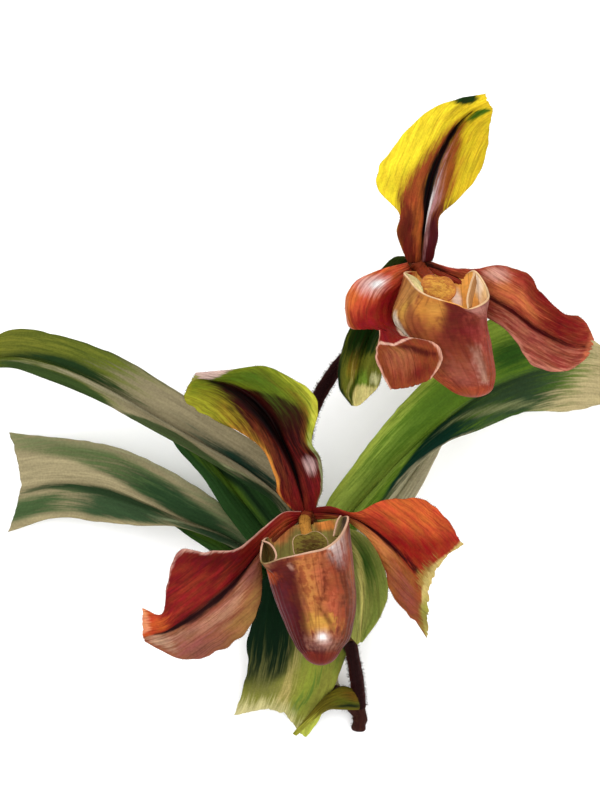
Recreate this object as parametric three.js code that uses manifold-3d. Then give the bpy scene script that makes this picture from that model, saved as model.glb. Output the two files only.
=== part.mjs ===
// A cut slipper orchid (Paphiopedilum villosum, long sold as Cypripedium), lying on its back:
// a crown with seven strap leaves and two blooms, each on its own stalk.
// Millimetres, +Z up. The origin is on the flat underside of the crown, where the plant rests.
// Leaves spread towards +Y and both blooms face +Z.
//
// Every leaf, bract, sepal and petal is a blade: a thin closed shell drawn between three
// matching rows of points, its left edge, its midrib and its right edge, from base to tip.
import * as THREE from 'three';
import { mergeVertices } from 'three/addons/utils/BufferGeometryUtils.js';
import Module from 'manifold-3d';

const wasm = await Module();
wasm.setup();

// Driving dimensions
const GAP = 0.3;                 // clearance kept between touching pieces
const GROUND = 0;                // height of the surface that the plant lies on
const LEAF_THICKNESS = 1.3;
const PETAL_THICKNESS = 1.1;
const BRACT_THICKNESS = 0.9;
const EDGE_THICKNESS = 0.7;      // every blade thins to this at its edges
const RHIZOME_RADIUS = 2.7;      // at its cut end
const CROWN_RADIUS = 5;
const SHEATH_HALF_WIDTH = 7;     // of the false stem at its foot
const SHEATH_SPREAD = 5;         // how much wider it grows towards the leaves
const SHEATH_TAPER = 4.5;        // how much it draws in again at its mouth
const SHEATH_FLATNESS = 0.55;    // its height over its width
const SCAPE_RADIUS = 2.75;       // the hairy flower stalks
const OVARY_RADIUS = 3.4;        // the ribbed seed vessel between stalk and bloom
const OVARY_RIBS = 6;
const OVARY_RIB_DEPTH = 0.35;
const OVARY_ENDS = 0.75;         // its radius at both ends, as a share of OVARY_RADIUS
const OVARY_SWELL = 0.35;        // what it gains half way, as a share of OVARY_RADIUS
const COLUMN_RADIUS = 2.2;
const COLUMN_TAPER = 0.15;       // share of its radius that the column loses towards its tip
const STAMINODE = [7.2, 5.4, 1.8];  // half width, height and depth of the shield on the column
const POUCH_WALL = 1.2;
const FRONT_BLOOM = [-8, 72, 48];  // where the sepals, petals and pouch of a bloom meet
const REAR_BLOOM = [38, 172, 50];

// ---------------------------------------------------------------- solids

const vec = ([x, y, z]) => new THREE.Vector3(x, y, z);
const curve = (points) => new THREE.CatmullRomCurve3(points.map(vec), false, 'catmullrom');

// A closed three.js geometry as a solid that can be joined and cut.
function toSolid(geometry) {
  const bare = geometry.clone();
  bare.deleteAttribute('normal');
  bare.deleteAttribute('uv');
  const merged = mergeVertices(bare, 1e-4);
  return new wasm.Manifold(new wasm.Mesh({
    numProp: 3,
    vertProperties: merged.attributes.position.array,
    triVerts: new Uint32Array(merged.index.array),
  }));
}

function toGeometry(solid) {
  const mesh = solid.getMesh();
  const geometry = new THREE.BufferGeometry();
  geometry.setAttribute('position', new THREE.BufferAttribute(mesh.vertProperties, 3));
  geometry.setIndex(new THREE.BufferAttribute(mesh.triVerts, 1));
  geometry.computeVertexNormals();
  return geometry;
}

const solidFrom = (points, triangles) => toSolid(
  new THREE.BufferGeometry().setFromPoints(points).setIndex(triangles),
);

// Rings of equal count joined into a skin, closed at both ends by a point.
function loft(rings, firstPole, lastPole) {
  const count = rings[0].length;
  const points = [...rings.flat(), firstPole, lastPole];
  const triangles = [];
  for (let i = 0; i + 1 < rings.length; i += 1) {
    for (let j = 0; j < count; j += 1) {
      const a = i * count + j;
      const b = i * count + ((j + 1) % count);
      triangles.push(a, b, b + count, a, b + count, a + count);
    }
  }
  const lastRing = (rings.length - 1) * count;
  for (let j = 0; j < count; j += 1) {
    const next = (j + 1) % count;
    triangles.push(points.length - 2, next, j);
    triangles.push(points.length - 1, lastRing + j, lastRing + next);
  }
  return solidFrom(points, triangles);
}

// A tube along a row of points. radius(t, angle) gives its size, `flatten` squeezes it in height
// and `bulge` swells its rounded ends.
function tube(row, radius, { steps = 10, sides = 12, flatten = 1, bulge = 1 } = {}) {
  const path = curve(row);
  const rings = [];
  for (let i = 0; i <= steps; i += 1) {
    const t = i / steps;
    const along = path.getTangent(t);
    const side = new THREE.Vector3(0, 0, 1).cross(along).normalize();
    const up = along.clone().cross(side);
    const centre = path.getPoint(t);
    rings.push(Array.from({ length: sides }, (_, j) => {
      const angle = (2 * Math.PI * j) / sides;
      const r = radius(t, angle);
      return centre.clone()
        .addScaledVector(side, r * Math.cos(angle))
        .addScaledVector(up, r * flatten * Math.sin(angle));
    }));
  }
  const capHeight = (t) => 0.35 * bulge * radius(t, 0) * flatten;
  const foot = path.getPoint(0).addScaledVector(path.getTangent(0), -capHeight(0));
  const head = path.getPoint(1).addScaledVector(path.getTangent(1), capHeight(1));
  return loft(rings, foot, head);
}

// Middle surface of a blade. Rows run from base to tip, columns from left edge to right edge.
// `arch` swells each half, `ruffle` waves the edges and `notch` draws in the end of each half.
function bladeRows(shape) {
  const { left, mid, right, along, across, arch = 0, ruffle = 0, waves = 3, notch = [0, 0] } = shape;
  const rails = { left: curve(left), mid: curve(mid), right: curve(right) };
  const rows = [];
  for (let i = 0; i <= along; i += 1) {
    rows.push(Array.from({ length: across + 1 }, (_, j) => {
      const s = (2 * j) / across - 1;
      const out = Math.abs(s);
      const t = (i / along) * (1 - notch[s < 0 ? 0 : 1] * Math.sin(Math.PI * out));
      const rib = rails.mid.getPoint(t);
      const edge = (s < 0 ? rails.left : rails.right).getPoint(t);
      const point = rib.lerp(edge, out);
      const envelope = Math.sin(Math.PI * t);
      point.z += arch * envelope * Math.sin(Math.PI * out);
      point.z += ruffle * envelope * out ** 3 * Math.sin(2 * Math.PI * waves * t + 2 * s);
      return point;
    }));
  }
  return rows;
}

// Moves the outermost points of a blade outwards, so that a grown copy clears it all round.
function growOutline(rows, by) {
  const push = (point, inner) => point.add(point.clone().sub(inner).setLength(by));
  const lastRow = rows.length - 1;
  const lastColumn = rows[0].length - 1;
  rows.forEach((row) => {
    push(row[0], row[1]);
    push(row[lastColumn], row[lastColumn - 1]);
  });
  rows[0].forEach((point, j) => push(point, rows[1][j]));
  rows[lastRow].forEach((point, j) => push(point, rows[lastRow - 1][j]));
}

// A thin shell on a blade's middle surface, split into triangles alike on both faces.
function blade(shape, thickness, grow = 0) {
  const rows = bladeRows(shape);
  if (grow > 0) growOutline(rows, grow);
  const { along, across } = shape;
  const width = across + 1;
  const at = (i, j) => rows[THREE.MathUtils.clamp(i, 0, along)][THREE.MathUtils.clamp(j, 0, across)];
  const upper = [];
  const lower = [];
  for (let i = 0; i <= along; i += 1) {
    for (let j = 0; j <= across; j += 1) {
      const lengthwise = at(i + 1, j).clone().sub(at(i - 1, j));
      const crosswise = at(i, j + 1).clone().sub(at(i, j - 1));
      const normal = crosswise.cross(lengthwise).normalize();
      const out = Math.abs((2 * j) / across - 1);
      const half = THREE.MathUtils.lerp(thickness, EDGE_THICKNESS, out * out) / 2 + grow;
      upper.push(at(i, j).clone().addScaledVector(normal, half));
      lower.push(at(i, j).clone().addScaledVector(normal, -half));
    }
  }
  const under = upper.length;
  const triangles = [];
  const quad = (a, b, c, d) => triangles.push(a, b, c, a, c, d);
  for (let i = 0; i < along; i += 1) {
    for (let j = 0; j < across; j += 1) {
      const a = i * width + j;
      quad(a, a + 1, a + 1 + width, a + width);
      triangles.push(under + a, under + a + 1 + width, under + a + 1);
      triangles.push(under + a, under + a + width, under + a + 1 + width);
    }
    const leftEdge = i * width;
    const rightEdge = leftEdge + across;
    quad(leftEdge, leftEdge + width, under + leftEdge + width, under + leftEdge);
    quad(rightEdge + width, rightEdge, under + rightEdge, under + rightEdge + width);
  }
  for (let j = 0; j < across; j += 1) {
    const tip = along * width + j;
    quad(j + 1, j, under + j, under + j + 1);
    quad(tip, tip + 1, under + tip + 1, under + tip);
  }
  return solidFrom([...upper, ...lower], triangles);
}

// What is left of a solid once its neighbours, grown by the gap, are cut out of it.
function seat(solid, neighbours) {
  const cut = neighbours.reduce((rest, grown) => rest.subtract(grown), solid);
  return cut.decompose().sort((a, b) => b.volume() - a.volume())[0];
}

// Everything below the surface that the plant lies on.
function belowGround() {
  const size = 500;
  const box = new THREE.BoxGeometry(size, size, size);
  box.translate(0, 100, GROUND - size / 2);
  return toSolid(box);
}

function named(name, solid, color, roughness = 0.6) {
  const material = new THREE.MeshStandardMaterial({ color, roughness, metalness: 0 });
  material.name = name;
  const mesh = new THREE.Mesh(toGeometry(solid), material);
  mesh.name = name;
  return mesh;
}

// ---------------------------------------------------------------- crown and stalks

const RHIZOME_PATH = [
  [13.5, -14.5, 2.2], [14, -8.5, 2.6], [10.5, -3.5, 3.4], [5.5, -1, 3.8], [0, 0, 4],
];
const FALSE_STEM_PATH = [
  [0, -1.5, 3.2], [-2, 6, 3.6], [-3.5, 20, 5.2], [-4, 34, 7.5], [-3.5, 44, 10], [-4, 51, 12],
];
const FRONT_SCAPE_PATH = [[14, -5, 7], [13, 4.5, 13], [11.5, 13, 20], [10, 22, 26]];
const REAR_SCAPE_PATH = [
  [-4, 47, 10], [-5, 62, 13], [-8, 80, 16], [-8.5, 98, 19], [-4.5, 115, 23], [3, 128.5, 26],
  [11, 138, 29.5],
];

// The cut rhizome end, the crown knob and the flat false stem of overlapping leaf sheaths.
function crown(grow = 0) {
  const rhizomeRadius = (t) => THREE.MathUtils.lerp(RHIZOME_RADIUS, CROWN_RADIUS, t * t) + grow;
  const rhizome = tube(RHIZOME_PATH, rhizomeRadius, { steps: 6, sides: 10 });
  const sheathWidth = (t) => SHEATH_HALF_WIDTH + SHEATH_SPREAD * t - SHEATH_TAPER * t ** 4 + grow;
  const shape = { steps: 9, sides: 14, flatten: SHEATH_FLATNESS };
  const sheaths = tube(FALSE_STEM_PATH, sheathWidth, shape);
  return rhizome.add(sheaths);
}

function scape(path, grow = 0) {
  const section = new THREE.Shape().absarc(0, 0, SCAPE_RADIUS + grow, 0, 2 * Math.PI);
  const steps = 5 * (path.length - 1);
  return toSolid(new THREE.ExtrudeGeometry(section, {
    extrudePath: curve(path), steps, curveSegments: 5, bevelEnabled: false,
  }));
}

// ---------------------------------------------------------------- leaves

const LEAF_UPPER_LEFT = {
  along: 16, across: 6, arch: 1.5,
  left: [
    [-7, 51, 15], [-19, 75, 29], [-33, 85, 37], [-52, 96.5, 42], [-73, 108, 42],
    [-91, 117.8, 37], [-111, 126, 29], [-129, 131, 17], [-150.5, 125.5, 0.4],
  ],
  mid: [
    [-4.5, 51.5, 12], [-14, 74, 22], [-30, 89, 30], [-50, 101, 35], [-70, 112.5, 36],
    [-90, 124, 32], [-110, 132.5, 25], [-130, 135, 14], [-151, 127, 0.4],
  ],
  right: [
    [-2.5, 54, 15], [-9, 84.5, 28], [-24.5, 98.5, 36], [-43, 110.5, 40], [-63, 124, 40],
    [-83.5, 136, 36], [-107, 144, 29], [-128.5, 145.5, 18], [-150, 128, 0.4],
  ],
};
const LEAF_LOWER_LEFT = {
  along: 16, across: 6, arch: 1.5, notch: [0.005, 0.005],
  left: [
    [-9.5, 40, 11], [-27, 53, 16], [-42, 61, 19], [-59, 67, 21], [-74, 67.5, 19], [-90, 69, 15],
    [-108, 70.5, 9], [-127.5, 65, 0.6],
  ],
  mid: [
    [-8.5, 43, 9], [-25, 54, 12], [-40, 63, 15], [-56, 69, 17], [-72, 77, 16], [-88, 83.5, 12],
    [-106, 86, 6.5], [-122, 84, 2.5],
  ],
  right: [
    [-7, 45, 11], [-23, 59, 16], [-35, 71, 19], [-47, 82, 21], [-64, 91, 20], [-83, 99, 16],
    [-104, 102.5, 10], [-127, 105, 1],
  ],
};
const LEAF_SHADED_LEFT = {
  along: 12, across: 6, arch: 1,
  left: [
    [-8.5, 44.5, 12], [-25, 55, 18], [-39, 71.5, 22], [-49, 87, 24], [-59.5, 99, 24],
    [-64.5, 109, 23], [-68.5, 118.5, 20],
  ],
  mid: [
    [-6, 47, 10], [-19, 60, 15], [-31, 75, 18], [-41, 88, 20], [-52, 102, 21], [-62, 112, 21],
    [-68, 119, 20],
  ],
  right: [
    [-4, 49.5, 12], [-13, 66, 18], [-23, 81, 22], [-33, 96, 24], [-43.5, 107.5, 24],
    [-56.5, 115, 23], [-67, 119.5, 20],
  ],
};
const LEAF_LOWEST_LEFT = {
  along: 10, across: 6, arch: 0.5,
  left: [
    [-8.5, 35, 8], [-25, 46, 10], [-41, 57, 11], [-55, 61.5, 10], [-63, 69, 7], [-79, 78.5, 3],
  ],
  mid: [
    [-7, 37, 6], [-23, 49, 7], [-37, 61, 8], [-52, 69, 7], [-66, 75, 5], [-79, 79, 3],
  ],
  right: [
    [-6, 40, 8], [-20, 53, 10], [-34, 67, 11], [-48, 75, 10], [-64, 78, 7], [-78.5, 79.5, 3],
  ],
};
const LEAF_UPPER_RIGHT = {
  along: 18, across: 6, arch: 1.5,
  left: [
    [-4.5, 55.5, 15], [0, 75, 29], [10, 90, 35], [21, 105, 37], [34, 120, 36], [49, 135, 33],
    [66, 150.5, 28], [88, 153, 21], [111.5, 139.5, 12], [132.5, 124.5, 0.4],
  ],
  mid: [
    [-2.5, 52.5, 12], [8, 69, 21], [20, 83, 26], [32, 95.5, 29], [46, 108, 29], [61, 119, 26],
    [78, 127.5, 21], [96, 132, 14], [113, 131, 7], [132, 123, 0.4],
  ],
  right: [
    [0, 50.5, 15], [13, 66, 28], [25, 78, 35], [36, 90.5, 38], [49, 101, 37], [63.5, 106.5, 33],
    [80, 113, 27], [98, 113.5, 19], [114, 117, 10], [132.5, 121.5, 0.4],
  ],
};
const LEAF_LOWEST_RIGHT = {
  along: 10, across: 6, arch: 0.5,
  left: [
    [-1.5, 46, 9], [10, 67, 12], [21, 82, 12], [32, 97, 11], [42, 109, 8], [51.5, 117.5, 3],
  ],
  mid: [
    [-0.5, 43, 7], [15, 61, 8], [28, 78, 8], [38, 92, 7], [46, 105, 5], [52, 117, 3],
  ],
  right: [
    [2, 40.5, 9], [19, 57, 12], [35, 77, 12], [43, 91.5, 11], [48.5, 103.5, 8], [52.5, 117, 3],
  ],
};
const LEAF_FRONT = {
  along: 14, across: 6, arch: 1, notch: [0, 0.05],
  left: [
    [-1.5, 49.5, 14], [3, 41, 20], [10, 34, 20.5], [10.5, 22, 17], [6.5, 9.5, 14], [1, -3, 10.5],
    [-3, -11.5, 5], [-8, -18.2, 0.6],
  ],
  mid: [
    [-4, 50, 13], [-5, 42, 21], [-6.5, 33, 23.5], [-8, 20, 21], [-10, 9, 16.5], [-12, 2, 12],
    [-14, -2, 8.5], [-16, -8, 3.6],
  ],
  right: [
    [-10, 50, 14], [-21, 46, 19], [-27, 35.5, 18], [-31, 22, 14], [-31, 11, 10.5], [-33, 2, 6.5],
    [-35, -4.5, 3], [-36.5, -9, 0.6],
  ],
};
const SCAPE_BRACT = {
  along: 12, across: 6, arch: 0.6,
  left: [
    [16, -5.5, 6.5], [13, -6.5, 9.5], [8, -6.5, 11.5], [1.5, -6.5, 13], [-5, -11, 11.5],
    [-11.5, -17, 9],
  ],
  mid: [
    [15.5, -3, 8], [12.5, -2.5, 12], [8, -2, 14], [1, -4, 14.5], [-5.5, -9.5, 12.5],
    [-12.5, -16.5, 9],
  ],
  right: [
    [16, -0.5, 8], [11.5, 2, 12.5], [6, 3, 13], [-0.5, -1.5, 13.5], [-7, -9, 12], [-13, -16, 9],
  ],
};

const leaf = (shape, grow = 0) => blade(shape, LEAF_THICKNESS, grow);

// Leaves listed from the topmost of the fan to the lowest: each is cut clear of those above it.
const FAN = [
  ['leaf_front', LEAF_FRONT, '#43572f'],
  ['leaf_upper_left', LEAF_UPPER_LEFT, '#5f7355'],
  ['leaf_upper_right', LEAF_UPPER_RIGHT, '#6f9a35'],
  ['leaf_shaded_left', LEAF_SHADED_LEFT, '#2c451f'],
  ['leaf_lower_left', LEAF_LOWER_LEFT, '#6d7a60'],
  ['leaf_lowest_left', LEAF_LOWEST_LEFT, '#24381d'],
  ['leaf_lowest_right', LEAF_LOWEST_RIGHT, '#8d9478'],
];

function buildLeavesAndStalks() {
  const group = new THREE.Group();
  const ground = belowGround();
  const taken = [ground, crown(GAP)];
  group.add(named('crown', seat(crown(), [ground]), '#6b5136', 0.8));
  const stalks = [['front_scape', FRONT_SCAPE_PATH], ['rear_scape', REAR_SCAPE_PATH]];
  stalks.forEach(([name, path]) => {
    group.add(named(name, seat(scape(path), taken), '#4a2320', 0.85));
    taken.push(scape(path, GAP));
  });
  FAN.forEach(([name, shape, color]) => {
    group.add(named(name, seat(leaf(shape), taken), color));
    taken.push(leaf(shape, GAP));
  });
  group.add(named('scape_bract', seat(blade(SCAPE_BRACT, BRACT_THICKNESS), taken), '#5d6b24'));
  return group;
}

// ---------------------------------------------------------------- blooms

// Front bloom, measured from FRONT_BLOOM.
const FRONT = {
  ovaryPath: [
    [18, -50, -22], [13.5, -36, -17.5], [8, -18, -13], [2.5, -5.5, -7], [0, -0.5, 0.5],
  ],
  columnPath: [[0, -1, 0], [0, -4, 7], [1, -8, 14], [2, -11.5, 18.5]],
  shield: { at: [2, -12, 19], tilt: -0.3, turn: 0.1 },
  rim: [
    [1, -15, 27], [8.5, -13, 25], [14.5, -8, 21], [17.5, -1, 13], [13.5, -1.5, 5], [7, -3, -1],
    [1, -3.5, -2], [-6, -5, -1], [-13, -8.5, 5], [-17, -10.5, 13], [-17.3, -19.2, 21],
    [-9, -17.3, 26],
  ],
  rings: [
    { at: [2.5, -24.5, 12], wide: 17, deep: 14.5 },
    { at: [5, -37, 13], wide: 15.5, deep: 14.5 },
    { at: [6, -49, 15], wide: 11.7, deep: 11.5 },
    { at: [6.2, -55.5, 17], wide: 7.3, deep: 7.2 },
  ],
  toe: [6.2, -59.9, 18],
  dorsalSepal: {
    along: 12, across: 8, arch: 0.8, ruffle: 0.8,
    left: [
      [-3.5, 0.5, 1], [-10.5, 8, 6], [-12, 15.5, 10], [-17, 26.5, 14], [-27, 33.5, 18],
      [-39, 39.5, 20], [-47, 45, 21], [-47.5, 50, 20], [-45.5, 53, 18],
    ],
    mid: [
      [0, 1, 0], [-2, 10, 4], [-5, 20, 7], [-9, 29.5, 9], [-14, 39, 11], [-21, 47, 13],
      [-29, 52, 15], [-37, 54, 17], [-45, 55, 18],
    ],
    right: [
      [4, 1.5, 1], [7, 11, 7], [6.5, 22.5, 12], [2.5, 30, 18], [5.5, 43, 22], [-1, 52.2, 25],
      [-15.5, 59.3, 25], [-30, 58, 22], [-43.5, 57, 18],
    ],
  },
  synsepal: {
    along: 9, across: 6, arch: 0.6,
    left: [
      [-1, -6, -7], [3, -20, -6], [8, -33, -6], [14.5, -44, -5.5], [21, -52, -5],
    ],
    mid: [
      [2.5, -3.5, -7], [13, -11, -5], [21, -20.5, -4], [23.5, -34, -4.5], [22, -51, -5],
    ],
    right: [
      [6, -1.5, -6], [24.5, -9, -1], [33, -26, 0], [31, -39, -1], [23, -51, -4.5],
    ],
  },
  leftPetal: {
    along: 14, across: 8, arch: 0.8, ruffle: 1.4,
    left: [
      [-3, -3, 0], [-10, -8.5, 3], [-17, -18, 7], [-17, -26, 14], [-19, -39, 18], [-27, -49.8, 19],
      [-39, -56, 19], [-50, -57.4, 16], [-64, -50.5, 13],
    ],
    mid: [
      [-2, -1, 0], [-8.5, -5, 4], [-16.5, -12.5, 8], [-24, -21.5, 12], [-31.5, -29, 14],
      [-40, -36, 15], [-48.5, -42, 15], [-56, -46.5, 14], [-65, -48.5, 13],
    ],
    right: [
      [-1.5, 1.5, 2], [-9, 1, 6], [-17, -5, 11], [-27, -13, 17], [-39, -14.5, 21],
      [-51, -14.5, 22], [-55, -27, 20], [-57, -39, 18], [-65, -37, 16],
    ],
  },
  rightPetal: {
    along: 14, across: 8, arch: 0.8, ruffle: 1.4, notch: [0.08, 0],
    left: [
      [3, 3, 2], [10.5, 3.5, 7], [19.5, 1, 12], [29, 5, 18], [39, 7, 22], [49, 6, 24], [55, 0, 23],
      [60, -7, 20], [64, -11.5, 16],
    ],
    mid: [
      [3, 1, 0], [11, 1, 5], [19.5, -1, 9], [27.5, -6, 12], [35, -12, 14], [39.5, -17, 15],
      [43, -21.5, 15], [47, -26, 14], [49.5, -29.5, 13],
    ],
    right: [
      [4.5, -2, 0], [12.5, -1.6, 3], [19, -4, 8], [26.5, -11, 12], [31.4, -20.5, 14], [34, -30.4, 16],
      [38.5, -36.5, 17], [43.5, -42, 17], [49, -49, 16],
    ],
  },
  bract: {
    along: 7, across: 4,
    left: [
      [16, -55.5, -26], [12.5, -47, -22], [9, -35.5, -18], [6.5, -25, -15], [7, -16.5, -14],
    ],
    mid: [
      [17.5, -55, -27], [17, -46, -27.5], [14, -34, -23.5], [10.5, -23.5, -18.5], [8, -15.5, -14],
    ],
    right: [
      [19.5, -54, -26], [22, -45, -22], [20, -32.5, -18], [15.5, -21, -14], [9, -15, -14],
    ],
  },
};

// Rear bloom, measured from REAR_BLOOM and turned a little to the right.
const REAR = {
  ovaryPath: [
    [-27, -34, -20.5], [-19, -20.5, -17], [-11, -9, -12.5], [-3.5, -3, -7], [0, 0.5, 1],
  ],
  columnPath: [[0, -1, -1], [3, -4.5, 8], [5.5, -7, 16], [7, -9, 19.5]],
  shield: { at: [7, -9.5, 20], tilt: -0.35, turn: -0.25 },
  rim: [
    [7, -14, 27], [14, -16, 27], [20, -17.8, 24], [27.5, -13, 17], [22.3, -2.8, 13], [16, -5, 5],
    [7, -3.5, 0], [0, -3, 0], [-6.4, -3.2, 8], [-4.8, -5.8, 17], [-2, -9.4, 23],
    [2, -12.2, 26],
  ],
  rings: [
    { at: [7.8, -21, 13], wide: 19, deep: 13.5 },
    { at: [11.5, -33, 13.5], wide: 17, deep: 13.5 },
    { at: [17, -44, 15], wide: 13, deep: 11 },
    { at: [20, -49.5, 17], wide: 8.8, deep: 7.5 },
  ],
  toe: [21, -53, 18],
  dorsalSepal: {
    along: 12, across: 8, arch: 0.8, ruffle: 0.8,
    left: [
      [-5, 0.6, 4], [-9.4, 12, 10], [-8.6, 20.5, 13], [-17.2, 30.5, 16], [-16, 39.5, 18],
      [-7.2, 51.6, 17], [4, 62, 14], [16, 66.5, 11], [26.5, 68.5, 9],
    ],
    mid: [
      [0.5, 1, 2], [1.5, 11, 5], [2.5, 19, 7], [4, 28, 8], [7, 39, 8], [11, 47.5, 7], [15, 55, 6],
      [21, 61, 6], [27.5, 64.5, 8],
    ],
    right: [
      [5, 1.5, 4], [7, 10, 10], [8, 19.5, 13], [15.6, 26.4, 16], [23.4, 36, 17], [26.5, 46, 16],
      [27.5, 53.5, 13], [28.5, 59, 10], [29, 62.5, 9],
    ],
  },
  synsepal: {
    along: 9, across: 6, arch: 0.6,
    left: [
      [-3, -9, -8], [-8, -21, -7], [-14, -32.5, -5], [-15, -42, -3], [-17, -49, -2],
      [-24, -56, -4],
    ],
    mid: [
      [-5, -6.5, -8], [-13, -16, -9], [-20, -28, -9], [-24, -39, -8], [-25, -47.5, -6.5],
      [-25.5, -56.5, -5],
    ],
    right: [
      [-7, -4, -8], [-18.5, -13, -7], [-27.5, -24, -5], [-32, -37, -3], [-32.5, -48.5, -3],
      [-27.5, -56.3, -4],
    ],
  },
  leftPetal: {
    along: 18, across: 8, ruffle: 1,
    left: [
      [-2.5, -4, -1], [-3.5, -8, 3], [-6, -13, 6], [-7.5, -19.5, 9], [-7.5, -24.5, 14],
      [-7, -27.5, 21], [-4, -29, 30], [5, -31, 35], [9, -37, 36], [4, -46, 33],
    ],
    mid: [
      [-3.5, -1.5, -1], [-9, -5, 7], [-16, -10.5, 15], [-19, -18.5, 19], [-18, -24, 22],
      [-14, -27, 26], [-10.5, -31.5, 30], [-6.5, -35, 30], [-4.5, -41, 28], [-3.5, -49, 29],
    ],
    right: [
      [-5, 1, 0], [-16, -2, 9], [-26.5, -7, 15], [-30, -16.5, 16], [-27.5, -25.5, 14],
      [-17.5, -24, 21], [-16.8, -30.5, 25], [-18, -35.5, 23], [-16.5, -41.5, 22], [-12, -50, 24],
    ],
  },
  rightPetal: {
    along: 14, across: 8, arch: 0.8, ruffle: 1.4,
    left: [
      [1, 2.5, 2], [12, -1, 6], [21, -1.5, 10], [32, -0.5, 14], [42, -3, 17], [48.5, -11.5, 17],
      [57, -19.5, 15], [65, -21.5, 12], [69.5, -29.5, 7],
    ],
    mid: [
      [1.5, 0, 0], [11, -3.2, 4], [19, -7.2, 6], [28, -13, 8], [37, -18, 10], [45, -24.5, 10],
      [53.5, -29.5, 9], [61.5, -33, 7], [69, -33, 5],
    ],
    right: [
      [3, -2.5, 0], [10, -5.6, 3], [17, -10, 4], [25, -18, 6], [33, -24.5, 10], [39, -32, 12],
      [45, -40.5, 12], [58, -42.5, 10], [67, -37, 6],
    ],
  },
  bract: {
    along: 7, across: 4,
    left: [
      [-27.5, -31.5, -20.5], [-27, -20.5, -17], [-21.5, -9.5, -12], [-14.5, -0.5, -6],
      [-10.5, 3, -4], [-6.5, 3.5, -4],
    ],
    mid: [
      [-26, -33, -22], [-23, -24, -23.5], [-17, -14, -20], [-11, -5, -15], [-7.5, 0.5, -9],
      [-5.5, 3, -5],
    ],
    right: [
      [-24.5, -34, -20.5], [-17.5, -28, -21], [-10.5, -19, -17], [-6, -10, -13], [-4.5, -3, -9],
      [-4.5, 2.5, -5],
    ],
  },
};

// The ribbed ovary, swelling a little half way.
function ovary({ ovaryPath }, grow = 0) {
  const girth = (t) => OVARY_RADIUS * (OVARY_ENDS + OVARY_SWELL * Math.sin(Math.PI * t ** 0.8));
  const radius = (t, angle) => girth(t) + OVARY_RIB_DEPTH * Math.cos(OVARY_RIBS * angle) + grow;
  return tube(ovaryPath, radius, { steps: 8, sides: 18, bulge: 1.6 });
}

// The column, with the staminode: a small domed shield that hangs over the mouth of the pouch.
function column({ columnPath, shield }, grow = 0) {
  const neckRadius = (t) => COLUMN_RADIUS * (1 - COLUMN_TAPER * t) + grow;
  const neck = tube(columnPath, neckRadius, { steps: 5, sides: 10 });
  const dome = new THREE.SphereGeometry(1, 14, 7);
  dome.scale(...STAMINODE.map((half) => half + grow));
  dome.rotateX(shield.tilt);
  dome.rotateZ(shield.turn);
  dome.translate(...shield.at);
  return neck.add(toSolid(dome));
}

const middle = (ring) => ring.reduce((sum, point) => sum.add(point), new THREE.Vector3())
  .divideScalar(ring.length);

// A ring moved away from its middle, or towards it where `by` is negative.
const spread = (ring, by) => {
  const centre = middle(ring);
  return ring.map((point) => point.clone().addScaledVector(point.clone().sub(centre).normalize(), by));
};

// The pouch: a slipper with a round mouth. Its rim runs from the front of the mouth to the
// right, and the rings below it shrink towards the toe.
function pouch({ rim, rings, toe }, grow = 0) {
  const sides = 20;
  const mouth = new THREE.CatmullRomCurve3(rim.map(vec), true, 'catmullrom');
  const ringPoint = ({ at, wide, deep }, j) => {
    const angle = (2 * Math.PI * j) / sides;
    return vec(at).add(new THREE.Vector3(wide * Math.sin(angle), 0, deep * Math.cos(angle)));
  };
  const levels = 8;
  const skin = Array.from({ length: levels }, () => []);
  for (let j = 0; j < sides; j += 1) {
    const knots = [mouth.getPoint(j / sides), ...rings.map((ring) => ringPoint(ring, j))];
    const rib = new THREE.CatmullRomCurve3(knots, false, 'centripetal');
    skin.forEach((ring, i) => ring.push(rib.getPoint(i / (levels - 1))));
  }
  const outer = skin.map((ring) => spread(ring, grow));
  const inner = skin.map((ring) => spread(ring, -POUCH_WALL - grow));
  const outerToe = vec(toe);
  const innerToe = middle(skin[levels - 1]);
  outerToe.y -= grow;
  innerToe.y += grow;
  return loft([...outer.reverse(), ...inner], outerToe, innerToe);
}

const petal = (shape, grow = 0) => blade(shape, PETAL_THICKNESS, grow);

function buildBloom(side, bloom, place, colors, stalk) {
  const group = new THREE.Group();
  group.position.set(...place);
  const [x, y, z] = place;
  const stalkHere = scape(stalk, GAP).translate([-x, -y, -z]);
  const taken = [stalkHere];
  const pieces = [
    ['ovary', ovary, bloom, '#5b3a22'],
    ['column', column, bloom, '#b9872f'],
    ['pouch', pouch, bloom, colors.pouch],
    ['left_petal', petal, bloom.leftPetal, colors.petal],
    ['right_petal', petal, bloom.rightPetal, colors.petal],
    ['dorsal_sepal', petal, bloom.dorsalSepal, colors.dorsal],
    ['synsepal', petal, bloom.synsepal, colors.synsepal],
    ['bract', (shape, grow = 0) => blade(shape, BRACT_THICKNESS, grow), bloom.bract, '#4c5a26'],
  ];
  pieces.forEach(([name, make, shape, color]) => {
    group.add(named(`${side}_${name}`, seat(make(shape), taken), color));
    taken.push(make(shape, GAP));
  });
  return group;
}

const plant = new THREE.Group();
plant.add(buildLeavesAndStalks());
plant.add(buildBloom('front', FRONT, FRONT_BLOOM,
  { pouch: '#b0562f', petal: '#a8402a', dorsal: '#8a8a2a', synsepal: '#9aab62' }, FRONT_SCAPE_PATH));
plant.add(buildBloom('rear', REAR, REAR_BLOOM,
  { pouch: '#b0562f', petal: '#a8442c', dorsal: '#c2a41c', synsepal: '#8b9a4a' }, REAR_SCAPE_PATH));

export default plant;
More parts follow.
